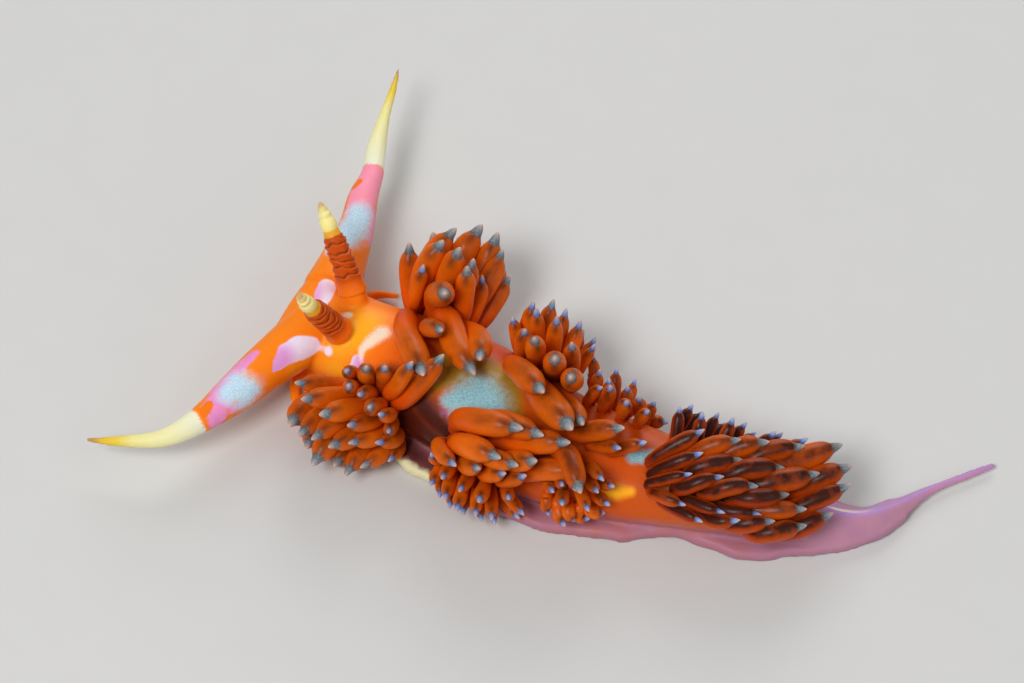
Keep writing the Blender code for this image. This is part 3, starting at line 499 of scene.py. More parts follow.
def back_at(station):
    """The point under the back at a station, and the level direction there towards the tail."""
    def point(place):
        return Vector([np.interp(place, BACK_STATIONS, BACK[:, k]) for k in (0, 1)] + [0.0])

    reach = 0.4 * MM
    low = max(station - reach, 0.0)
    high = min(station + reach, BACK_STATIONS[-1])
    return point(station), (point(high) - point(low)).normalized()


def size_at(table, station):
    return smooth_value(table, station / MM) * MM


def belly_at(station):
    """The height of the body's underside: it stands on the foot, and the head lifts off a little."""
    lift = max(0.0, 1.0 - station / HEAD_LIFT_LENGTH)
    return BELLY + HEAD_LIFT * lift**2


def flank(station, turn):
    """The (out, up) place of the body's skin at a turn from straight up."""
    width, top = size_at(HALF_WIDTH, station), size_at(CROWN, station)
    low = belly_at(station)
    middle = low + WAIST * (top - low)
    tail = ease((station - TAIL_FROM) / (TAIL_WHOLE - TAIL_FROM))
    across, upright = math.sin(turn), math.cos(turn)
    fullness = blend(BODY_FULLNESS, TAIL_FULLNESS, tail)
    out = math.copysign(width * abs(across) ** fullness, across)
    if upright >= 0:
        body_up = middle + (top - middle) * upright ** CROWN_FULLNESS
        ridge_up = FOOT_RIM + (top - FOOT_RIM) * upright ** RIDGE_FULLNESS
        return out, blend(body_up, max(ridge_up, 0.0), tail)
    flat = min(1.0, BELLY_FLATNESS * abs(upright) ** BELLY_CURVE)
    return out * blend(1.0, BELLY_SHARE, flat), middle - (middle - low) * flat


def foot_skin(station, turn):
    """The (out, up) place on the foot: a flat sole under a low plate with thin edges."""
    width = size_at(FOOT_HALF_WIDTH, station)
    across, upright = math.sin(turn), math.cos(turn)
    out = width * math.copysign(abs(across) ** FOOT_FULLNESS, across)
    if upright < 0:
        return out, 0.0
    return out, blend(FOOT_RIM, FOOT_TOP, min(1.0, FOOT_SHOULDER * upright))


def place(station, out, up):
    """World position of an (out, up) place at a station. Out is towards the animal's left."""
    middle, back = back_at(station)
    left = back.cross(UP)
    return middle + left * out + UP * up


def ring_of(bm, places):
    """A closed loop of edges through the places."""
    verts = bmesh.ops.create_circle(bm, segments=len(places), radius=1.0)["verts"]
    for vert, where in zip(verts, places):
        vert.co = where
    return list({edge for vert in verts for edge in vert.link_edges})


def loft(bm, rings):
    """A closed body through rings of places, one after another, with flat ends."""
    loops = [ring_of(bm, places) for places in rings]
    for before, after in zip(loops, loops[1:]):
        bmesh.ops.bridge_loops(bm, edges=before + after)
    for end in (loops[0], loops[-1]):
        bmesh.ops.edgeloop_fill(bm, edges=end)


def body_rings(outline, stations, sides):
    """Rings of an outline of the body at stations in millimetres."""
    turns = [FULL_TURN * (k + 0.5) / sides - math.pi for k in range(sides)]
    return [
        [place(station * MM, *outline(station * MM, turn)) for turn in turns]
        for station in stations
    ]


def frames_along(points):
    """Two directions square to a line at each of its points, turned as little as can be."""
    ahead = np.gradient(points, axis=0)
    ahead /= np.linalg.norm(ahead, axis=1, keepdims=True) + TINY
    first = np.array(Vector(ahead[0]).orthogonal())
    across = np.zeros_like(points)
    for k, heading in enumerate(ahead):
        first = first - heading * first.dot(heading)
        first = first / np.linalg.norm(first)
        across[k] = first
    return across, np.cross(ahead, across)


def tube_rings(line, sides):
    """Rings square to a line of x, y, z and radius rows."""
    across, other = frames_along(line[:, :3])
    rings = []
    for k, row in enumerate(line):
        ring = []
        for side in range(sides):
            angle = FULL_TURN * side / sides
            spoke = across[k] * math.cos(angle) + other[k] * math.sin(angle)
            ring.append(row[:3] + spoke * row[3])
        rings.append(ring)
    return rings


def finish(name, mesh, skin, nodes):
    """Shows a mesh as a piece of the model that stands for the nodes."""
    mesh.materials.clear()
    mesh.materials.append(skin)
    mesh.transform(Matrix.Translation(CENTRING))
    mesh.shade_smooth()
    made = bpy.data.objects.new(name, mesh)
    bpy.context.scene.collection.objects.link(made)
    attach(made, "root")
    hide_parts(*nodes)
    return made


def add_lips(bm):
    """Two soft lips on the front of the head."""
    along, aside, up = (size * MM for size in LIPS_AT)
    _, back = back_at(along)
    left = back.cross(UP)
    for side in (LEFT, RIGHT):
        centre = place(along, side * aside, up)
        ball = bmesh.ops.create_icosphere(bm, subdivisions=3, radius=1.0)["verts"]
        for vert in ball:
            x, y, z = (size * MM * at for size, at in zip(LIP_SIZE, vert.co))
            vert.co = centre + back * x + left * y + UP * z


def add_tube(bm, line, detail, end=1.0):
    """A closed tube on a line of x, y, z and radius rows, up to a share of its length."""
    rings, sides = detail
    loft(bm, tube_rings(evenly(line, rings, 0.0, end), sides))


def skin_shapes():
    """A bmesh with every fleshy part as a closed body of its own, each sunk into the next."""
    bm = bmesh.new()
    for outline, start, end, (rings, sides) in (
        (flank, 0.0, BODY_END, BODY_MESH), (foot_skin, FOOT_START, FOOT_END, FOOT_MESH),
    ):
        loft(bm, body_rings(outline, np.linspace(start, end, rings), sides))
    for rows, detail, end in (
        (LEFT_TENTACLE, TENTACLE_MESH, 1.0), (RIGHT_TENTACLE, TENTACLE_MESH, 1.0),
        (LEFT_RHINOPHORE, STALK_MESH, RHINOPHORE_ROOT),
        (RIGHT_RHINOPHORE, STALK_MESH, RHINOPHORE_ROOT), (BROW, BROW_MESH, 1.0),
    ):
        add_tube(bm, rounded_line(rows, LINE_STEPS) * MM, detail, end)
    for side in (LEFT, RIGHT):
        rows = [(*place(along * MM, side * out * MM, up * MM), radius * MM)
                for along, out, up, radius in FOOT_CORNERS]
        add_tube(bm, rounded_line(rows, CORNER_STEPS), CORNER_MESH)
    add_lips(bm)
    bmesh.ops.recalc_face_normals(bm, faces=bm.faces)
    return bm


def fused(bm, grain):
    """One even mesh over all the closed bodies of a bmesh."""
    bmesh.ops.scale(bm, vec=(1 / MM, 1 / MM, 1 / MM), verts=bm.verts)
    mesh = bpy.data.meshes.new("shapes")
    bm.to_mesh(mesh)
    bm.free()
    guide = bpy.data.objects.new("shapes", mesh)
    bpy.context.scene.collection.objects.link(guide)
    remesh = guide.modifiers.new("fuse", "REMESH")
    remesh.mode = "VOXEL"
    remesh.voxel_size = grain / MM
    graph = bpy.context.evaluated_depsgraph_get()
    found = bpy.data.meshes.new_from_object(guide.evaluated_get(graph))
    bpy.data.objects.remove(guide)
    bpy.data.meshes.remove(mesh)
    return found


def soften(points, edges, rounds):
    """Smooths points along their edges without shrinking the whole."""
    count = np.bincount(edges.reshape(-1), minlength=len(points))[:, None]
    for turn in range(2 * rounds):
        step = SOFTEN_STEP if turn % 2 == 0 else SWELL_STEP
        total = np.zeros_like(points)
        for first, second in ((0, 1), (1, 0)):
            for k in range(3):
                total[:, k] += np.bincount(
                    edges[:, first], points[edges[:, second], k], minlength=len(points)
                )
        points = points + step * (total / count - points)
    return points


def mesh_points(mesh):
    found = np.empty(len(mesh.vertices) * 3)
    mesh.vertices.foreach_get("co", found)
    return found.reshape(-1, 3)


def set_attribute(mesh, name, values):
    """Writes a number for each vertex, which a material reads by its name."""
    made = mesh.attributes.new(name, "FLOAT", "POINT")
    made.data.foreach_set("value", np.asarray(values, np.float32))


def body_places(points):
    """Station, distance out to the left and height of each point, in metres."""
    away = ((points[:, None, :2] - BACK[None, ::BACK_SKIP, :]) ** 2).sum(axis=2)
    nearest = away.argmin(axis=1) * BACK_SKIP
    offset = points[:, :2] - BACK[nearest]
    ahead = BACK_AHEAD[nearest]
    station = BACK_STATIONS[nearest] + (offset * ahead).sum(axis=1)
    out = offset[:, 0] * ahead[:, 1] - offset[:, 1] * ahead[:, 0]
    return station, out, points[:, 2]


def rippled(points):
    """Waves the thin margin of the foot and lifts it off the floor here and there."""
    station, out, up = body_places(points)
    width = np.interp(station, BACK_STATIONS, BODY_SIZES[:, 3])
    outer = (np.abs(out) / width - RIPPLE_INNER) / (1 - RIPPLE_INNER)
    edge = ease(outer) * ease((MARGIN_TOP - up) / MARGIN_SOFT)
    start, whole, fade, end = RIPPLE_ZONE
    edge *= ease((station - start) / (whole - start)) * ease((end - station) / (end - fade))
    phase = FULL_TURN * station / RIPPLE_LENGTH + np.sign(out)
    wave = (np.sin(phase) + 0.5 * np.sin(1.9 * phase + 1.2)) * edge
    ahead = np.stack(
        [np.interp(station, BACK_STATIONS, BACK_AHEAD[:, k]) for k in (0, 1)], axis=1
    )
    left = np.stack([ahead[:, 1], -ahead[:, 0]], axis=1)
    points[:, :2] += left * (np.sign(out) * RIPPLE * wave)[:, None]
    points[:, 2] += RIPPLE_LIFT * (0.5 + 0.5 * np.sin(phase + 1.5)) * edge
    return points


def stroke_mask(points, rows):
    """For each point 1 on a stroke's line, a half at its edge and 0 at twice its radius."""
    rows = np.array(rows) * MM
    found = np.zeros(len(points))
    for start, end in zip(rows, rows[1:]):
        step = end[:3] - start[:3]
        share = np.clip((points - start[:3]) @ step / (step @ step), 0.0, 1.0)
        radius = blend(start[3], end[3], share)
        away = np.linalg.norm(points - start[:3] - share[:, None] * step, axis=1)
        found = np.maximum(found, 1 - away / (2 * radius))
    return found


def past_the_cream(points):
    """How far each point of the tentacles lies past the start of the cream, up to 1 at the tip."""
    found = np.full(len(points), -1.0)
    front = np.nonzero(points[:, 0] < CREAM_UNTIL)[0]
    for rows, side in ((LEFT_TENTACLE, "left"), (RIGHT_TENTACLE, "right")):
        line = evenly(rounded_line(rows, LINE_STEPS) * MM, FEELER_POINTS)
        away = np.linalg.norm(points[front, None, :] - line[None, :, :3], axis=2)
        nearest = away.argmin(axis=1)
        start = CREAM_FROM[side]
        share = (nearest / (len(line) - 1) - start) / (1 - start)
        near = away.min(axis=1) < CREAM_ROUND * line[nearest, 3] + CREAM_NEAR
        found[front[near]] = np.maximum(found[front[near]], share[near])
    return found


def paint_skin(mesh, points):
    """Writes the marks and the zones of the skin for the material."""
    for name, strokes in MARKS.items():
        masks = [stroke_mask(points, rows) for rows in strokes]
        set_attribute(mesh, name, np.clip(np.max(masks, axis=0), 0.0, 1.0))
    station, out, up = body_places(points)
    crown = np.interp(station, BACK_STATIONS, BODY_SIZES[:, 1])
    tail = ease((station - TAIL_FROM) / TAIL_VEIL_SOFT)
    low = ease((VEIL_TOP - up) / VEIL_SOFT)
    low *= ease((station - VEIL_FROM) / (VEIL_WHOLE - VEIL_FROM))
    set_attribute(mesh, "veil", np.maximum(tail, VEIL_SHARE * low))
    top = ease(up / crown * 4 - 2)
    crest = np.abs(out + CREST_ASIDE) / CREST_WIDTH
    set_attribute(mesh, "ridge", tail * top * np.clip(1 - crest, 0, 1))
    set_attribute(mesh, "back", station / BACK_STATIONS[-1])
    set_attribute(mesh, "feeler", past_the_cream(points))


def skin_mesh(settings):
    mesh = fused(skin_shapes(), settings.grain)
    edges = np.empty(len(mesh.edges) * 2, np.int32)
    mesh.edges.foreach_get("vertices", edges)
    points = soften(mesh_points(mesh), edges.reshape(-1, 2), settings.softening) * MM
    points = rippled(points)
    points[:, 2] = np.maximum(points[:, 2], 0.0)
    mesh.vertices.foreach_set("co", points.reshape(-1))
    mesh.update()
    paint_skin(mesh, points)
    return mesh


def node(tree, kind, settings=None, inputs=None):
    """Adds a shader node, with its settings, and its inputs as values or as links."""
    made = tree.nodes.new("ShaderNode" + kind)
    for name, value in (settings or {}).items():
        setattr(made, name, value)
    for name, value in (inputs or {}).items():
        if isinstance(value, bpy.types.NodeSocket):
            tree.links.new(value, made.inputs[name])
        else:
            made.inputs[name].default_value = value
    return made


def new_material(name):
    """An empty material and its node tree."""
    made = bpy.data.materials.new(name)
    made.use_nodes = True
    made.node_tree.nodes.clear()
    return made, made.node_tree


def ramp(tree, value, stops):
    """A colour for a value, from rows of (place, colour)."""
    made = node(tree, "ValToRGB", inputs={"Fac": value})
    elements = made.color_ramp.elements
    elements[0].position, elements[1].position = stops[0][0], stops[-1][0]
    for at, _ in stops[1:-1]:
        elements.new(at)
    for element, (_, colour) in zip(elements, stops):
        element.color = (*colour, 1.0)
    return made.outputs["Color"]


def mixed(tree, share, first, second):
    """A colour that far from the first to the second."""
    made = node(tree, "Mix", {"data_type": "RGBA"})
    for socket, value in zip((made.inputs[0], made.inputs[6], made.inputs[7]),
                             (share, first, second)):
        if isinstance(value, bpy.types.NodeSocket):
            tree.links.new(value, socket)
        else:
            socket.default_value = value if socket == made.inputs[0] else (*value, 1.0)
    return made.outputs[2]


def attribute(tree, name):
    return node(tree, "Attribute", {"attribute_name": name}).outputs["Fac"]


def math_node(tree, operation, *values):
    made = node(tree, "Math", {"operation": operation})
    for socket, value in zip(made.inputs, values):
        if isinstance(value, bpy.types.NodeSocket):
            tree.links.new(value, socket)
        else:
            socket.default_value = value
    return made.outputs["Value"]


def rough_noise(tree, scale, detail=3.0):
    """Noise over the model, its scale in features to a millimetre."""
    place_of = node(tree, "TexCoord").outputs["Object"]
    made = node(tree, "TexNoise", inputs={
        "Vector": place_of, "Scale": scale / MM, "Detail": detail,
    })
    return made.outputs["Fac"]


def strayed(tree, value, noise, reach):
    """A value that a noise moves up and down by up to half of the reach."""
    off = math_node(tree, "SUBTRACT", noise, 0.5)
    return math_node(tree, "ADD", value, math_node(tree, "MULTIPLY", off, reach))


def shader_group(name, inputs, outputs):
    """The node group of that name, with its two ends where it is new and has to be filled."""
    found = bpy.data.node_groups.get(name)
    if found:
        return found, None, None
    made = bpy.data.node_groups.new(name, "ShaderNodeTree")
    for socket in inputs:
        made.interface.new_socket(socket, in_out="INPUT", socket_type="NodeSocketFloat")
    for socket in outputs:
        made.interface.new_socket(socket, in_out="OUTPUT", socket_type="NodeSocketFloat")
    return made, made.nodes.new("NodeGroupInput").outputs, made.nodes.new("NodeGroupOutput").inputs


def use_group(tree, group, inputs):
    """Places a node group in a tree and gives its outputs."""
    placed = node(tree, "Group", {"node_tree": group}, inputs)
    return placed.outputs


def stepped(tree, value, low, high):
    """0 below the low value and 1 above the high one, with a smooth step between them."""
    return node(tree, "MapRange", {"interpolation_type": "SMOOTHSTEP"}, {
        "Value": value, "From Min": low, "From Max": high,
    }).outputs["Result"]


def patch_edge():
    """Turns a mask that is a half at a mark's edge into the mark's cover, with a ragged edge."""
    made, given, found = shader_group(
        "patch_edge", ("Mask", "Grain", "Raggedness", "Softness"), ("Cover",)
    )
    if given:
        cover = stepped(
            made, strayed(made, given["Mask"], given["Grain"], given["Raggedness"]),
            math_node(made, "SUBTRACT", 0.5, given["Softness"]),
            math_node(made, "ADD", 0.5, given["Softness"]),
        )
        made.links.new(cover, found["Cover"])
    return made


def wet_relief():
    """The height of the fine folds and grains of wet skin."""
    made, given, found = shader_group("wet_relief", ("Folds", "Grains"), ("Height",))
    if given:
        folds = rough_noise(made, 0.9, 2.0)
        grains = rough_noise(made, 6.5, 3.0)
        height = math_node(
            made, "ADD", math_node(made, "MULTIPLY", folds, given["Folds"]),
            math_node(made, "MULTIPLY", grains, given["Grains"]),
        )
        made.links.new(height, found["Height"])
    return made


def flesh(tree, colour, roughness, relief, extra=None):
    """Finishes a material: a translucent wet flesh of a colour, with a relief in millimetres."""
    height = use_group(tree, wet_relief(), {"Folds": relief[0], "Grains": relief[1]})["Height"]
    bump = node(tree, "Bump", inputs={"Height": height, "Strength": 1.0, "Distance": MM})
    settings = {
        "Base Color": colour,
        "Roughness": roughness,
        "Subsurface Weight": 0.30,
        "Subsurface Radius": (1.0, 0.30, 0.12),
        "Subsurface Scale": 0.5 * MM,
        "Specular IOR Level": 0.16,
        "Coat Weight": 0.02,
        "Coat Roughness": 0.2,
        "Normal": bump.outputs["Normal"],
    }
    settings.update(extra or {})
    shader = node(tree, "BsdfPrincipled", inputs=settings)
    node(tree, "OutputMaterial", inputs={"Surface": shader.outputs["BSDF"]})


def painted(tree, below, name, grain, colours, ragged, soft):
    """Paints a mark of the skin over the colours below it."""
    cover = use_group(tree, patch_edge(), {
        "Mask": attribute(tree, name), "Grain": grain, "Raggedness": ragged, "Softness": soft,
    })["Cover"]
    return mixed(tree, cover, below, mixed(tree, grain, *colours))


def skin_material(settings):
    """Orange head, brown flanks and rose foot, with the pale, violet and dark marks over them; the
    dark flank is partly painted shade, the gold partly a painted highlight and the tail's top partly
    a painted sheen.
    """
    made, tree = new_material("body_skin")
    coarse = rough_noise(tree, 0.7)
    grain = rough_noise(tree, 2.4, 4.0)
    speck = rough_noise(tree, 11.0)
    gold, foot, tail = tuple(settings.gold), tuple(settings.foot), tuple(settings.tail)
    colour = ramp(tree, attribute(tree, "back"), [
        (0.0, gold), (0.12, gold), (0.18, (0.84, 0.14, 0.004)), (0.26, (0.62, 0.085, 0.003)),
        (0.50, (0.62, 0.085, 0.004)), (0.64, (0.60, 0.12, 0.015)), (0.78, tail),
    ])
    margin = mixed(tree, stepped(tree, attribute(tree, "back"), 0.62, 0.80), foot, tail)
    pearl = mixed(tree, stepped(tree, attribute(tree, "lilac"), 0.10, 0.85),
                  (0.84, 0.76, 0.90), (0.76, 0.34, 0.68))
    speckled = stepped(tree, speck, 0.25, 0.75)
    bloom = mixed(tree, stepped(tree, attribute(tree, "back"), 0.10, 0.15),
                  mixed(tree, speckled, (0.38, 0.60, 0.74), (0.68, 0.81, 0.88)),
                  mixed(tree, speckled, (0.17, 0.40, 0.46), (0.40, 0.64, 0.68)))
    dust = mixed(tree, stepped(tree, attribute(tree, "lilac"), 0.35, 0.6), bloom,
                 (0.40, 0.26, 0.80))
    for name, noise, colours, ragged, soft in (
        ("veil", coarse, (margin, (0.42, 0.20, 0.34)), 0.30, 0.42),
        ("ember", coarse, ((0.86, 0.10, 0.005), (0.74, 0.08, 0.005)), 0.20, 0.40),
        # Gold patches: partly real yellow, partly a painted highlight
        ("gold_and_highlight", coarse, ((1.0, 0.46, 0.01), (0.98, 0.38, 0.01)), 0.20, 0.42),
        ("olive", grain, ((0.33, 0.19, 0.015), (0.46, 0.24, 0.02)), 0.20, 0.25),
        # Dark maroon flank: partly real colour, partly painted shade
        ("maroon_and_shade", coarse, ((0.040, 0.006, 0.003), (0.10, 0.012, 0.004)), 0.25, 0.36),
        ("blush", grain, ((0.92, 0.31, 0.50), (0.74, 0.26, 0.62)), 0.35, 0.10),
        ("rose", grain, ((0.97, 0.27, 0.33), (0.93, 0.33, 0.48)), 0.30, 0.10),
        ("pearl", grain, (pearl, pearl), 0.10, 0.05),
        ("haze", speck, ((0.90, 0.66, 0.40), (0.95, 0.84, 0.74)), 0.60, 0.30),
        ("frost", grain, (dust, dust), 0.45, 0.30),
        ("cream", grain, ((0.82, 0.78, 0.50), (0.70, 0.66, 0.36)), 0.30, 0.12),
    ):
        colour = painted(tree, colour, name, noise, colours, ragged, soft)
    feeler = attribute(tree, "feeler")
    tip = ramp(tree, feeler, [
        (0.0, (0.82, 0.82, 0.62)), (0.25, (0.84, 0.80, 0.44)), (0.58, (0.82, 0.74, 0.30)),
        (0.72, (0.80, 0.60, 0.06)), (0.86, (0.76, 0.50, 0.04)), (0.94, (0.50, 0.32, 0.09)),
        (1.0, (0.48, 0.30, 0.12)),
    ])
    start = stepped(tree, strayed(tree, feeler, grain, 0.06), -0.015, 0.02)
    colour = mixed(tree, start, colour, tip)
    colour = painted(tree, colour, "spot", grain, ((0.93, 0.22, 0.008), (0.86, 0.16, 0.008)),
                     0.35, 0.06)
    ridge = attribute(tree, "ridge")
    # The tail's top turns violet: partly its real colour, partly a painted sheen along the top
    colour = mixed(tree, stepped(tree, ridge, 0.45, 0.85), colour, mixed(
        tree, coarse, (0.52, 0.25, 0.44), (0.34, 0.22, 0.56)))
    line = math_node(tree, "MULTIPLY", stepped(tree, ridge, 0.86, 0.94), stepped(
        tree, attribute(tree, "back"), 0.84, 0.76))
    colour = mixed(tree, line, colour, (0.86, 0.66, 0.46))
    roughness = node(tree, "MapRange", inputs={"Value": grain, "To Min": 0.30, "To Max": 0.46})
    flesh(tree, colour, roughness.outputs["Result"], (0.05, 0.012))
    return made


def rhinophore_material(settings):
    """Orange foot, rust lamellae with painted shade in the grooves between them, a gold ring and a
    cream tip with a tan end.
    """
    made, tree = new_material("rhinophore_skin")
    rust = tuple(settings.rust)
    grain = rough_noise(tree, 3.0, 4.0)
    colour = ramp(tree, strayed(tree, attribute(tree, "along"), grain, 0.02), [
        (0.0, (0.92, 0.21, 0.006)), (0.08, (0.86, 0.17, 0.006)), (0.18, rust), (0.56, rust),
        (0.625, (0.52, 0.07, 0.004)), (0.64, (0.80, 0.36, 0.02)), (0.69, (0.84, 0.42, 0.03)),
        (0.71, (0.93, 0.84, 0.32)), (0.90, (0.90, 0.80, 0.32)), (0.96, (0.70, 0.48, 0.20)),
        (1.0, (0.55, 0.34, 0.14)),
    ])
    # Painted shade darkens the grooves between the lamellae
    groove_shade = math_node(tree, "SUBTRACT", 1.0, stepped(tree, attribute(tree, "collar"), 0.0, 0.30))
    colour = mixed(tree, math_node(tree, "MULTIPLY", groove_shade, 0.85), colour, (0.12, 0.014, 0.002))
    flesh(tree, colour, 0.36, (0.02, 0.02))
    return made


def gland_cover():
    """How much of the dark gland shows through a ceras at each place of its skin; it is kept off the
    side edges seen from one direction, which paints them lighter as light shining through.
    """
    made, given, found = shader_group(
        "gland_cover", ("Along", "PaintedRimLight", "Tone", "Mottle", "Small"), ("Cover",)
    )
    if given:
        start = math_node(
            made, "SUBTRACT", 0.62, math_node(made, "MULTIPLY", given["Tone"], 0.55)
        )
        length = stepped(made, given["Along"], start, math_node(made, "ADD", start, 0.28))
        # The gland narrows away from the side edges seen from one direction: painted light shining
        # through them
        width = stepped(made, given["PaintedRimLight"], 1.0, 0.22)
        blotch = node(made, "MapRange", inputs={
            "Value": given["Mottle"], "From Min": 0.36, "From Max": 0.60,
            "To Min": 0.72, "To Max": 1.10,
        }).outputs["Result"]
        gland = given["Tone"]
        for share in (length, width, blotch):
            gland = math_node(made, "MULTIPLY", gland, share)
        under_cap = math_node(
            made, "MULTIPLY", stepped(made, given["Along"], 0.66, 0.86), math_node(
                made, "SUBTRACT",
                math_node(made, "ADD", 0.85, math_node(made, "MULTIPLY", given["Small"], 0.10)),
                math_node(made, "MULTIPLY", given["PaintedRimLight"], 0.75),
            ),
        )
        cover = math_node(made, "MAXIMUM", gland, under_cap)
        limit = node(made, "Clamp", inputs={"Value": cover})
        made.links.new(limit.outputs["Result"], found["Cover"])
    return made


def cerata_material():
    """Clear orange with the dark gland inside, lighter side edges painted as light shining through,
    and a small grey-blue cap with a peach point and painted highlight streaks.
    """
    made, tree = new_material("cerata_skin")
    along, small = attribute(tree, "along"), attribute(tree, "small")
    mottle = rough_noise(tree, 1.5)
    fine = rough_noise(tree, 7.0)
    orange = ramp(tree, strayed(tree, along, mottle, 0.06), [
        (0.0, (0.50, 0.040, 0.001)), (0.30, (0.80, 0.105, 0.002)), (0.65, (0.96, 0.185, 0.003)),
        (0.88, (0.90, 0.17, 0.004)),
    ])
    tone = attribute(tree, "tone")
    orange = mixed(tree, math_node(tree, "MULTIPLY", tone, 0.75), orange, (0.36, 0.028, 0.001))
    gland = use_group(tree, gland_cover(), {
        "Along": along, "PaintedRimLight": attribute(tree, "painted_rim_light"), "Tone": tone,
        "Mottle": mottle, "Small": small,
    })["Cover"]
    colour = mixed(tree, gland, orange, mixed(tree, fine, (0.024, 0.004, 0.003),
                                              (0.065, 0.011, 0.003)))
    grey = ramp(tree, along, [
        (0.88, (0.085, 0.08, 0.07)), (0.91, (0.135, 0.15, 0.16)), (0.945, (0.21, 0.24, 0.27)),
        (0.97, (0.36, 0.30, 0.27)), (1.0, (0.66, 0.42, 0.30)),
    ])
    blue = ramp(tree, along, [
        (0.88, (0.05, 0.06, 0.12)), (0.91, (0.14, 0.21, 0.50)), (0.95, (0.28, 0.38, 0.66)),
        (0.975, (0.46, 0.36, 0.36)), (1.0, (0.70, 0.42, 0.30)),
    ])
    # Pale streaks over the cap are painted highlights
    highlight_streak = math_node(tree, "MULTIPLY", stepped(tree, fine, 0.45, 0.70), 0.25)
    cap = mixed(tree, highlight_streak, mixed(tree, small, grey, blue), (0.52, 0.58, 0.66))
    edge = stepped(tree, strayed(tree, along, fine, 0.02), 0.862, 0.892)
    colour = mixed(tree, edge, colour, cap)
    roughness = node(tree, "MapRange", inputs={"Value": fine, "To Min": 0.26, "To Max": 0.42})
    flesh(tree, colour, roughness.outputs["Result"], (0.03, 0.006), {
        "Sheen Weight": 0.12,
        "Sheen Roughness": 0.4,
        "Sheen Tint": (1.0, 0.30, 0.04, 1.0),
    })
    return made


def through(first, middle, last, share):
    """The place at a share of the curve through three places."""
    return (first * ((1 - share) * (1 - 2 * share)) + middle * (4 * share * (1 - share))
            + last * (share * (2 * share - 1)))


def ceras_points(side, station, angle, tip, bend_share):
    """Points along one ceras: it leaves the skin squarely, then bends to its tip."""
    _, back = back_at(station)
    out = back.cross(UP) * side
    here = Vector(flank(station, angle))
    along = (Vector(flank(station, angle + TURN_STEP)) - here).normalized()
    square = (UP * along.x - out * along.y).normalized()
    if square.dot(out * math.sin(angle) + UP * math.cos(angle)) < 0:
        square = -square
    root = place(station, side * here.x, here.y)
    start = root + square * CERAS_STEM
    bend = start + square * (bend_share * (tip - start).length)
    points = [root - square * CERAS_SUNK]
    for k in range(CERAS_POINTS - 1):
        share = k / (CERAS_POINTS - 2)
        points.append(
            start * (1 - share) ** 2 + bend * (2 * share * (1 - share)) + tip * share**2
        )
    return [list(point) for point in points]


def bunch_cerata(settings):
    """Every ceras before it settles: its node, points, girth, station and turn."""
    chance = random.Random(settings.seed)
    stray = settings.wander
    found = []
    for (name, side), rows in BUNCHES.items():
        for turn, count, first, last, *tips in rows:
            tips = [Vector(tip) * MM for tip in tips]
            for k in range(count):
                share = (k + chance.uniform(-ROOT_WANDER, ROOT_WANDER)) / (count - 1)
                share = min(1.0, max(0.0, share))
                station = blend(first, last, share) * MM
                angle = math.radians(turn + chance.uniform(-TURN_WANDER, TURN_WANDER))
                tip = through(*tips, share) + Vector([chance.uniform(-stray, stray)
                                                      for _ in range(3)])
                points = ceras_points(
                    side, station, angle, tip, FLATTER_BEND.get(name, CERAS_BEND)
                )
                length = np.linalg.norm(np.diff(points[1:], axis=0), axis=1).sum()
                girth = max(settings.girth * length, settings.least_girth)
                girth *= chance.uniform(1 - GIRTH_VARIES, 1 + GIRTH_VARIES)
                found.append((name, points, girth, station, side * angle))
    return found


def pushed(points, others, first, second, reach):
    """How far each point is pushed by the others that lie nearer to it than their reach."""
    apart = points[first] - others[second]
    distance = np.linalg.norm(apart, axis=1) + 1e-9
    apart *= (np.maximum(reach - distance, 0.0) / distance)[:, None]
    return np.stack(
        [np.bincount(first, apart[:, k], minlength=len(points)) for k in range(3)], axis=1
    )


BODY_SIZES = np.array([
    (size_at(HALF_WIDTH, s), size_at(CROWN, s), belly_at(s), size_at(FOOT_HALF_WIDTH, s))
    for s in BACK_STATIONS
])


def off_the_body(points, girth):
    """Moves points that lie in the body, the foot or the floor out of them."""
    flat = points.reshape(-1, 3).copy()
    away = ((flat[:, None, :2] - BACK[None, :, :]) ** 2).sum(axis=2)
    nearest = away.argmin(axis=1)
    side = np.stack([BACK_AHEAD[:, 1], -BACK_AHEAD[:, 0]], axis=1)[nearest]
    out = ((flat[:, :2] - BACK[nearest]) * side).sum(axis=1)
    width, top, low, foot = BODY_SIZES[nearest].T
    middle = low + WAIST * (top - low)
    wide, tall = width + girth, top - middle + girth
    up = np.maximum(flat[:, 2] - middle, 0.0)
    inside = np.sqrt((out / wide) ** 2 + (up / tall) ** 2)
    share = np.clip(1.0 / np.maximum(inside, DEEPEST_IN), 1.0, MOST_SPREAD)
    flat[:, :2] += side * (out * (share - 1))[:, None]
    flat[:, 2] += up * (share - 1)
    floor = np.where(np.abs(out) < foot + girth, FOOT_TOP, 0.0) + girth + ROOM_ROUND
    flat[:, 2] = np.maximum(flat[:, 2], floor)
    return flat.reshape(points.shape)


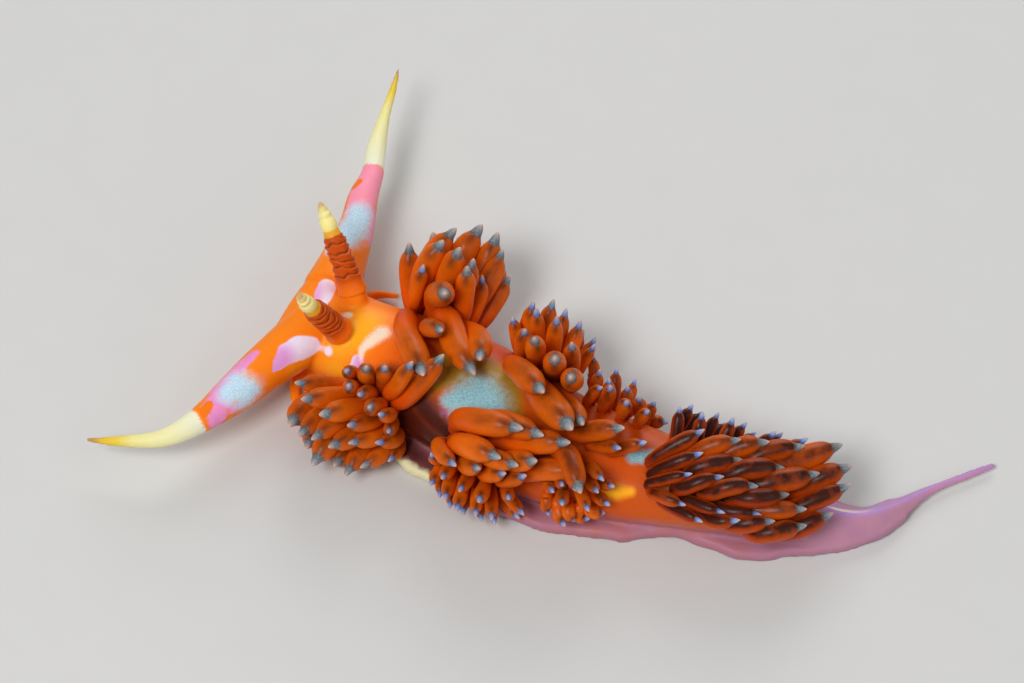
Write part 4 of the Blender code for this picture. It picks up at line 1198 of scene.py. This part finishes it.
def settle(cerata, fixed):
    """Bends the cerata apart, off the body and off the floor, to lie side by side."""
    points = np.array([c[1] for c in cerata])
    count, joints = points.shape[:2]
    shares = np.concatenate([[0.0], np.linspace(ROOT_SHARE, 1.0, joints - 1)])
    shape = np.array([max(smooth_value(CERAS_SHAPE, s), CERAS_SLIMMEST) for s in shares])
    radii = np.array([c[2] for c in cerata])[:, None] * shape[None, :]
    girth = radii.reshape(-1)
    which = np.repeat(np.arange(count), joints)
    rest = points.copy()
    steps = np.linalg.norm(np.diff(rest, axis=1), axis=2)
    reach = girth[:, None] + girth[None, :] + ROOM_BETWEEN
    reach[which[:, None] == which[None, :]] = 0.0
    for turn in range(SETTLE_ROUNDS):
        flat = points.reshape(-1, 3)
        if turn % NEIGHBOURS_EVERY == 0:
            far = np.linalg.norm(flat[:, None, :] - flat[None, :, :], axis=2)
            first, second = np.nonzero(far < reach + NEIGHBOURS_WITHIN * (reach > 0))
        moved = pushed(flat, flat, first, second, reach[first, second]) * PUSH_APART
        near = fixed[None, :, 3] + girth[:, None] + ROOM_ROUND
        every = np.indices(near.shape).reshape(2, -1)
        moved += pushed(flat, fixed[:, :3], *every, near.reshape(-1)) * PUSH_OFF
        size = np.linalg.norm(moved, axis=1, keepdims=True) + TINY
        moved *= np.minimum(1.0, LONGEST_PUSH / size)
        points = (flat + moved).reshape(count, joints, 3)
        if turn < SPRING_UNTIL * SETTLE_ROUNDS:
            points += SPRING * (rest - points)
        points[:, 2:-1] += SMOOTHING * ((points[:, 1:-2] + points[:, 3:]) / 2 - points[:, 2:-1])
        points = off_the_body(points, girth)
        points[:, :2] = rest[:, :2]
        for k in range(2, joints):
            step = points[:, k] - points[:, k - 1]
            size = np.linalg.norm(step, axis=1, keepdims=True) + TINY
            points[:, k] = points[:, k - 1] + step / size * steps[:, k - 1:k]
    return points


def fixed_parts():
    """Points with radii along the tentacles and rhinophores, which the cerata keep clear of."""
    found = []
    for rows in (LEFT_TENTACLE, RIGHT_TENTACLE, LEFT_RHINOPHORE, RIGHT_RHINOPHORE):
        found.append(evenly(rounded_line(rows, LINE_STEPS) * MM, FIXED_POINTS))
    return np.concatenate(found)


def template(name, sides, rings):
    """A closed ball to be drawn out along lines, and the ring and the angle of each vertex."""
    bm = bmesh.new()
    bmesh.ops.create_uvsphere(bm, u_segments=sides, v_segments=rings, radius=1.0)
    mesh = bpy.data.meshes.new(name)
    bm.to_mesh(mesh)
    bm.free()
    points = mesh_points(mesh)
    ring = np.rint(np.arccos(np.clip(points[:, 2], -1, 1)) / math.pi * rings).astype(int)
    return mesh, ring, np.arctan2(points[:, 1], points[:, 0])


def spokes_round(centres, ring, angle):
    """The direction of each vertex of a template from the line that it is drawn out along."""
    across, other = frames_along(centres)
    return across[ring] * np.cos(angle)[:, None] + other[ring] * np.sin(angle)[:, None]


def ceras_places(line, girth, ring, angle, shares, chance):
    """Where a template's vertices stand on a ceras, and how near each is to its side edges seen from
    one direction, which the material paints lighter.
    """
    length = np.linalg.norm(np.diff(line, axis=0), axis=1).sum()
    cap = CAP_LENGTH / length + CAP_SHARE
    centres = at_shares(line, np.interp(shares, (0, CAP_FROM, 1), (0, 1 - cap, 1)))
    spokes = spokes_round(centres, ring, angle)
    radii = np.array([girth * smooth_value(CERAS_SHAPE, share) for share in shares])
    phase, bulge = chance.uniform(0, FULL_TURN), chance.uniform(0.0, BULGE_MOST)
    swell = 1 + bulge * np.sin(BULGES * shares[ring] + 2 * angle + phase)
    # The side edges are taken as seen from one direction; the material paints them lighter, as light
    # shining through
    beside = np.cross(np.gradient(centres, axis=0), RIM_LIGHT_SEEN_FROM)
    beside /= np.linalg.norm(beside, axis=1, keepdims=True) + TINY
    painted_rim_light = np.abs((spokes * beside[ring]).sum(axis=1))
    return centres[ring] + spokes * (radii[ring] * swell)[:, None], painted_rim_light


def club_places(line, ring, angle, shares):
    """Where a template's vertices stand on a rhinophore's club, and the height of its collars."""
    share, low, high = shares[ring], *LAMELLAE_SPAN
    # The lamellae lean, waver and split a little on their way round
    turns = LAMELLAE * (share - low) / (high - low)
    turns = turns + 0.34 * np.cos(angle + 0.6) + 0.22 * np.sin(2 * angle + 1.7 * turns)
    turns = turns + 0.10 * np.sin(5 * angle + 2.3 * turns)
    part = turns % 1.0
    collar = part ** 0.9 * (1 - ease((part - 0.84) / 0.16))
    within = ease((share - low) / 0.05) * ease((high - share) / 0.03)
    radii = np.array([smooth_value(CLUB_SHAPE, at) * MM for at in shares])[ring]
    radii = radii + LAMELLA_DEPTH * within * (collar - 0.45)
    centres = at_shares(line, CLUB_FROM + (1 - CLUB_FROM) * shares)[:, :3]
    places = centres[ring] + spokes_round(centres, ring, angle) * radii[:, None]
    return places, 1 - within * (1 - collar)


def write_bake_map(mesh, roots, along, angles):
    """The OFBake map: each ceras is a small round patch at its root's place on the unrolled skin."""
    spread = (1 - along)[:, None] * ROOT_PATCH / 2
    flat = roots + spread * np.stack([np.cos(angles), np.sin(angles)], axis=1)
    corners = np.empty(len(mesh.loops), np.int32)
    mesh.loops.foreach_get("vertex_index", corners)
    layer = mesh.uv_layers.new(name="OFBake")
    layer.data.foreach_set("uv", flat[corners].reshape(-1).astype(np.float32))


class NUDIBRANCH_OT_skin(bpy.types.Operator):
    """Builds the one skin of the head, body, foot, tail and oral tentacles"""

    bl_idname = "nudibranch.skin"
    bl_label = "Skin"

    def execute(self, context):
        settings = context.scene.nudibranch_skin
        mesh = skin_mesh(settings)
        fleshy = [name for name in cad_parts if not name.startswith("rhinophore")]
        finish("skin", mesh, skin_material(settings), fleshy)
        return {"FINISHED"}


class NUDIBRANCH_OT_rhinophores(bpy.types.Operator):
    """Builds the two rhinophores with their lamellae"""

    bl_idname = "nudibranch.rhinophores"
    bl_label = "Rhinophores"

    def execute(self, context):
        settings = context.scene.nudibranch_rhinophores
        skin = rhinophore_material(settings)
        for name, rows in (("left", LEFT_RHINOPHORE), ("right", RIGHT_RHINOPHORE)):
            mesh, ring, angle = template(
                "rhinophore_" + name + "_club", settings.sides, settings.rings
            )
            line = rounded_line(rows, LINE_STEPS) * MM
            shares = np.arange(settings.rings + 1) / settings.rings
            places, collar = club_places(line, ring, angle, shares)
            mesh.vertices.foreach_set("co", places.reshape(-1))
            set_attribute(mesh, "along", shares[ring])
            set_attribute(mesh, "collar", collar)
            finish(mesh.name, mesh, skin, ["rhinophore_" + name])
        return {"FINISHED"}


class NUDIBRANCH_OT_cerata(bpy.types.Operator):
    """Builds the cerata, bunch by bunch, settled side by side"""

    bl_idname = "nudibranch.cerata"
    bl_label = "Cerata"

    def execute(self, context):
        settings = context.scene.nudibranch_cerata
        cerata = bunch_cerata(settings)
        settled = settle(cerata, fixed_parts())
        chance = random.Random(settings.seed + 1)
        skin = cerata_material()
        ball, ring, angle = template("ceras", settings.sides, settings.rings)
        shares = 1 - (1 - np.arange(settings.rings + 1) / settings.rings) ** RINGS_CROWD
        for name, darkness in DARK_CORES.items():
            bm = bmesh.new()
            points, rims, tone, small, roots = [], [], [], [], []
            for k, (node_name, _, girth, station, turn) in enumerate(cerata):
                if node_name != name:
                    continue
                bm.from_mesh(ball)
                line = rounded_line(settled[k], CERAS_STEPS)
                places, painted_rim_light = ceras_places(line, girth, ring, angle, shares, chance)
                points.append(places)
                rims.append(painted_rim_light)
                tone.append(darkness * chance.uniform(*TONE_VARIES))
                small.append(1 - ease((girth - SMALL_GIRTH) / (LARGE_GIRTH - SMALL_GIRTH)))
                roots.append((station / BACK_STATIONS[-1], 0.5 + turn / FULL_TURN))
            mesh = bpy.data.meshes.new("cerata_" + name)
            bm.to_mesh(mesh)
            bm.free()
            mesh.vertices.foreach_set("co", np.concatenate(points).reshape(-1))
            along = np.tile(shares[ring], len(points))
            set_attribute(mesh, "along", along)
            set_attribute(mesh, "painted_rim_light", np.concatenate(rims))
            set_attribute(mesh, "tone", np.repeat(tone, len(ring)))
            set_attribute(mesh, "small", np.repeat(small, len(ring)))
            write_bake_map(mesh, np.repeat(roots, len(ring), axis=0), along,
                           np.tile(angle, len(points)))
            finish(mesh.name, mesh, skin, [name])
        return {"FINISHED"}


class NUDIBRANCH_OT_stage(bpy.types.Operator):
    """Sets up the pale floor, the soft lights and the camera"""

    bl_idname = "nudibranch.stage"
    bl_label = "Stage"

    def execute(self, context):
        settings = context.scene.nudibranch_stage
        make_floor(settings.floor_tone)
        make_lights()
        make_camera(settings)
        return {"FINISHED"}


def make_floor(tone):
    bm = bmesh.new()
    bmesh.ops.create_grid(bm, x_segments=1, y_segments=1, size=FLOOR_REACH)
    mesh = bpy.data.meshes.new("floor")
    bm.to_mesh(mesh)
    bm.free()
    made, tree = new_material("pale_floor")
    speck = rough_noise(tree, 0.3)
    shader = node(tree, "BsdfPrincipled", inputs={
        "Base Color": mixed(tree, speck, [0.97 * c for c in tone], tone),
        "Roughness": 0.6,
    })
    node(tree, "OutputMaterial", inputs={"Surface": shader.outputs["BSDF"]})
    mesh.materials.append(made)
    floor = bpy.data.objects.new("floor", mesh)
    bpy.context.scene.collection.objects.link(floor)


def make_lights():
    """A soft key from the front left, a broad fill, and a light from behind for the rims."""
    rows = {
        "key": ((-0.18, -0.22, 0.38), 0.18, 1.5),
        "fill": ((0.30, -0.20, 0.25), 0.35, 0.4),
        "back": ((0.06, 0.35, 0.22), 0.25, 0.7),
    }
    for name, (where, size, power) in rows.items():
        light = bpy.data.lights.new(name, "AREA")
        light.size = size
        light.energy = power
        lamp = bpy.data.objects.new(name, light)
        lamp.location = where
        lamp.rotation_euler = (TARGET - Vector(where)).to_track_quat("-Z", "Y").to_euler()
        bpy.context.scene.collection.objects.link(lamp)
    world = bpy.data.worlds.new("studio")
    world.use_nodes = True
    sky = world.node_tree.nodes["Background"]
    sky.inputs["Color"].default_value = (0.90, 0.94, 1.0, 1.0)
    sky.inputs["Strength"].default_value = 0.27
    bpy.context.scene.world = world


def make_camera(settings):
    camera = bpy.data.cameras.new("camera")
    camera.lens = settings.lens
    camera.clip_start = 0.01
    seat = bpy.data.objects.new("camera", camera)
    tilt = settings.elevation
    seat.location = TARGET + Vector((0, -math.cos(tilt), math.sin(tilt))) * settings.distance
    seat.rotation_euler = (math.pi / 2 - tilt, 0, 0)
    bpy.context.scene.collection.objects.link(seat)
    bpy.context.scene.camera = seat
    bpy.context.scene.view_settings.view_transform = "Standard"


class NUDIBRANCH_PT_panel(bpy.types.Panel):
    """Lists the pieces of the model and their sizes"""

    bl_idname = "NUDIBRANCH_PT_panel"
    bl_label = "Nudibranch"
    bl_space_type = "VIEW_3D"
    bl_region_type = "UI"
    bl_category = "Nudibranch"

    def draw(self, context):
        for operator, group in STEPS:
            box = self.layout.box()
            box.operator(operator.bl_idname)
            settings = getattr(context.scene, group)
            for name in settings.__annotations__:
                box.prop(settings, name)


# Each piece's operator and the scene's settings that it reads
STEPS = [
    (NUDIBRANCH_OT_skin, "nudibranch_skin"),
    (NUDIBRANCH_OT_rhinophores, "nudibranch_rhinophores"),
    (NUDIBRANCH_OT_cerata, "nudibranch_cerata"),
    (NUDIBRANCH_OT_stage, "nudibranch_stage"),
]
SETTINGS = {
    "nudibranch_skin": SkinSettings,
    "nudibranch_rhinophores": RhinophoreSettings,
    "nudibranch_cerata": CerataSettings,
    "nudibranch_stage": StageSettings,
}


def register():
    for group in SETTINGS.values():
        bpy.utils.register_class(group)
    for operator, _ in STEPS:
        bpy.utils.register_class(operator)
    bpy.utils.register_class(NUDIBRANCH_PT_panel)
    for name, group in SETTINGS.items():
        setattr(bpy.types.Scene, name, PointerProperty(type=group))


def unregister():
    for name in SETTINGS:
        delattr(bpy.types.Scene, name)
    bpy.utils.unregister_class(NUDIBRANCH_PT_panel)
    for operator, _ in STEPS:
        bpy.utils.unregister_class(operator)
    for group in SETTINGS.values():
        bpy.utils.unregister_class(group)


def main():
    register()
    bpy.ops.nudibranch.skin()
    bpy.ops.nudibranch.rhinophores()
    bpy.ops.nudibranch.cerata()
    bpy.ops.nudibranch.stage()


if __name__ == "__main__":
    main()
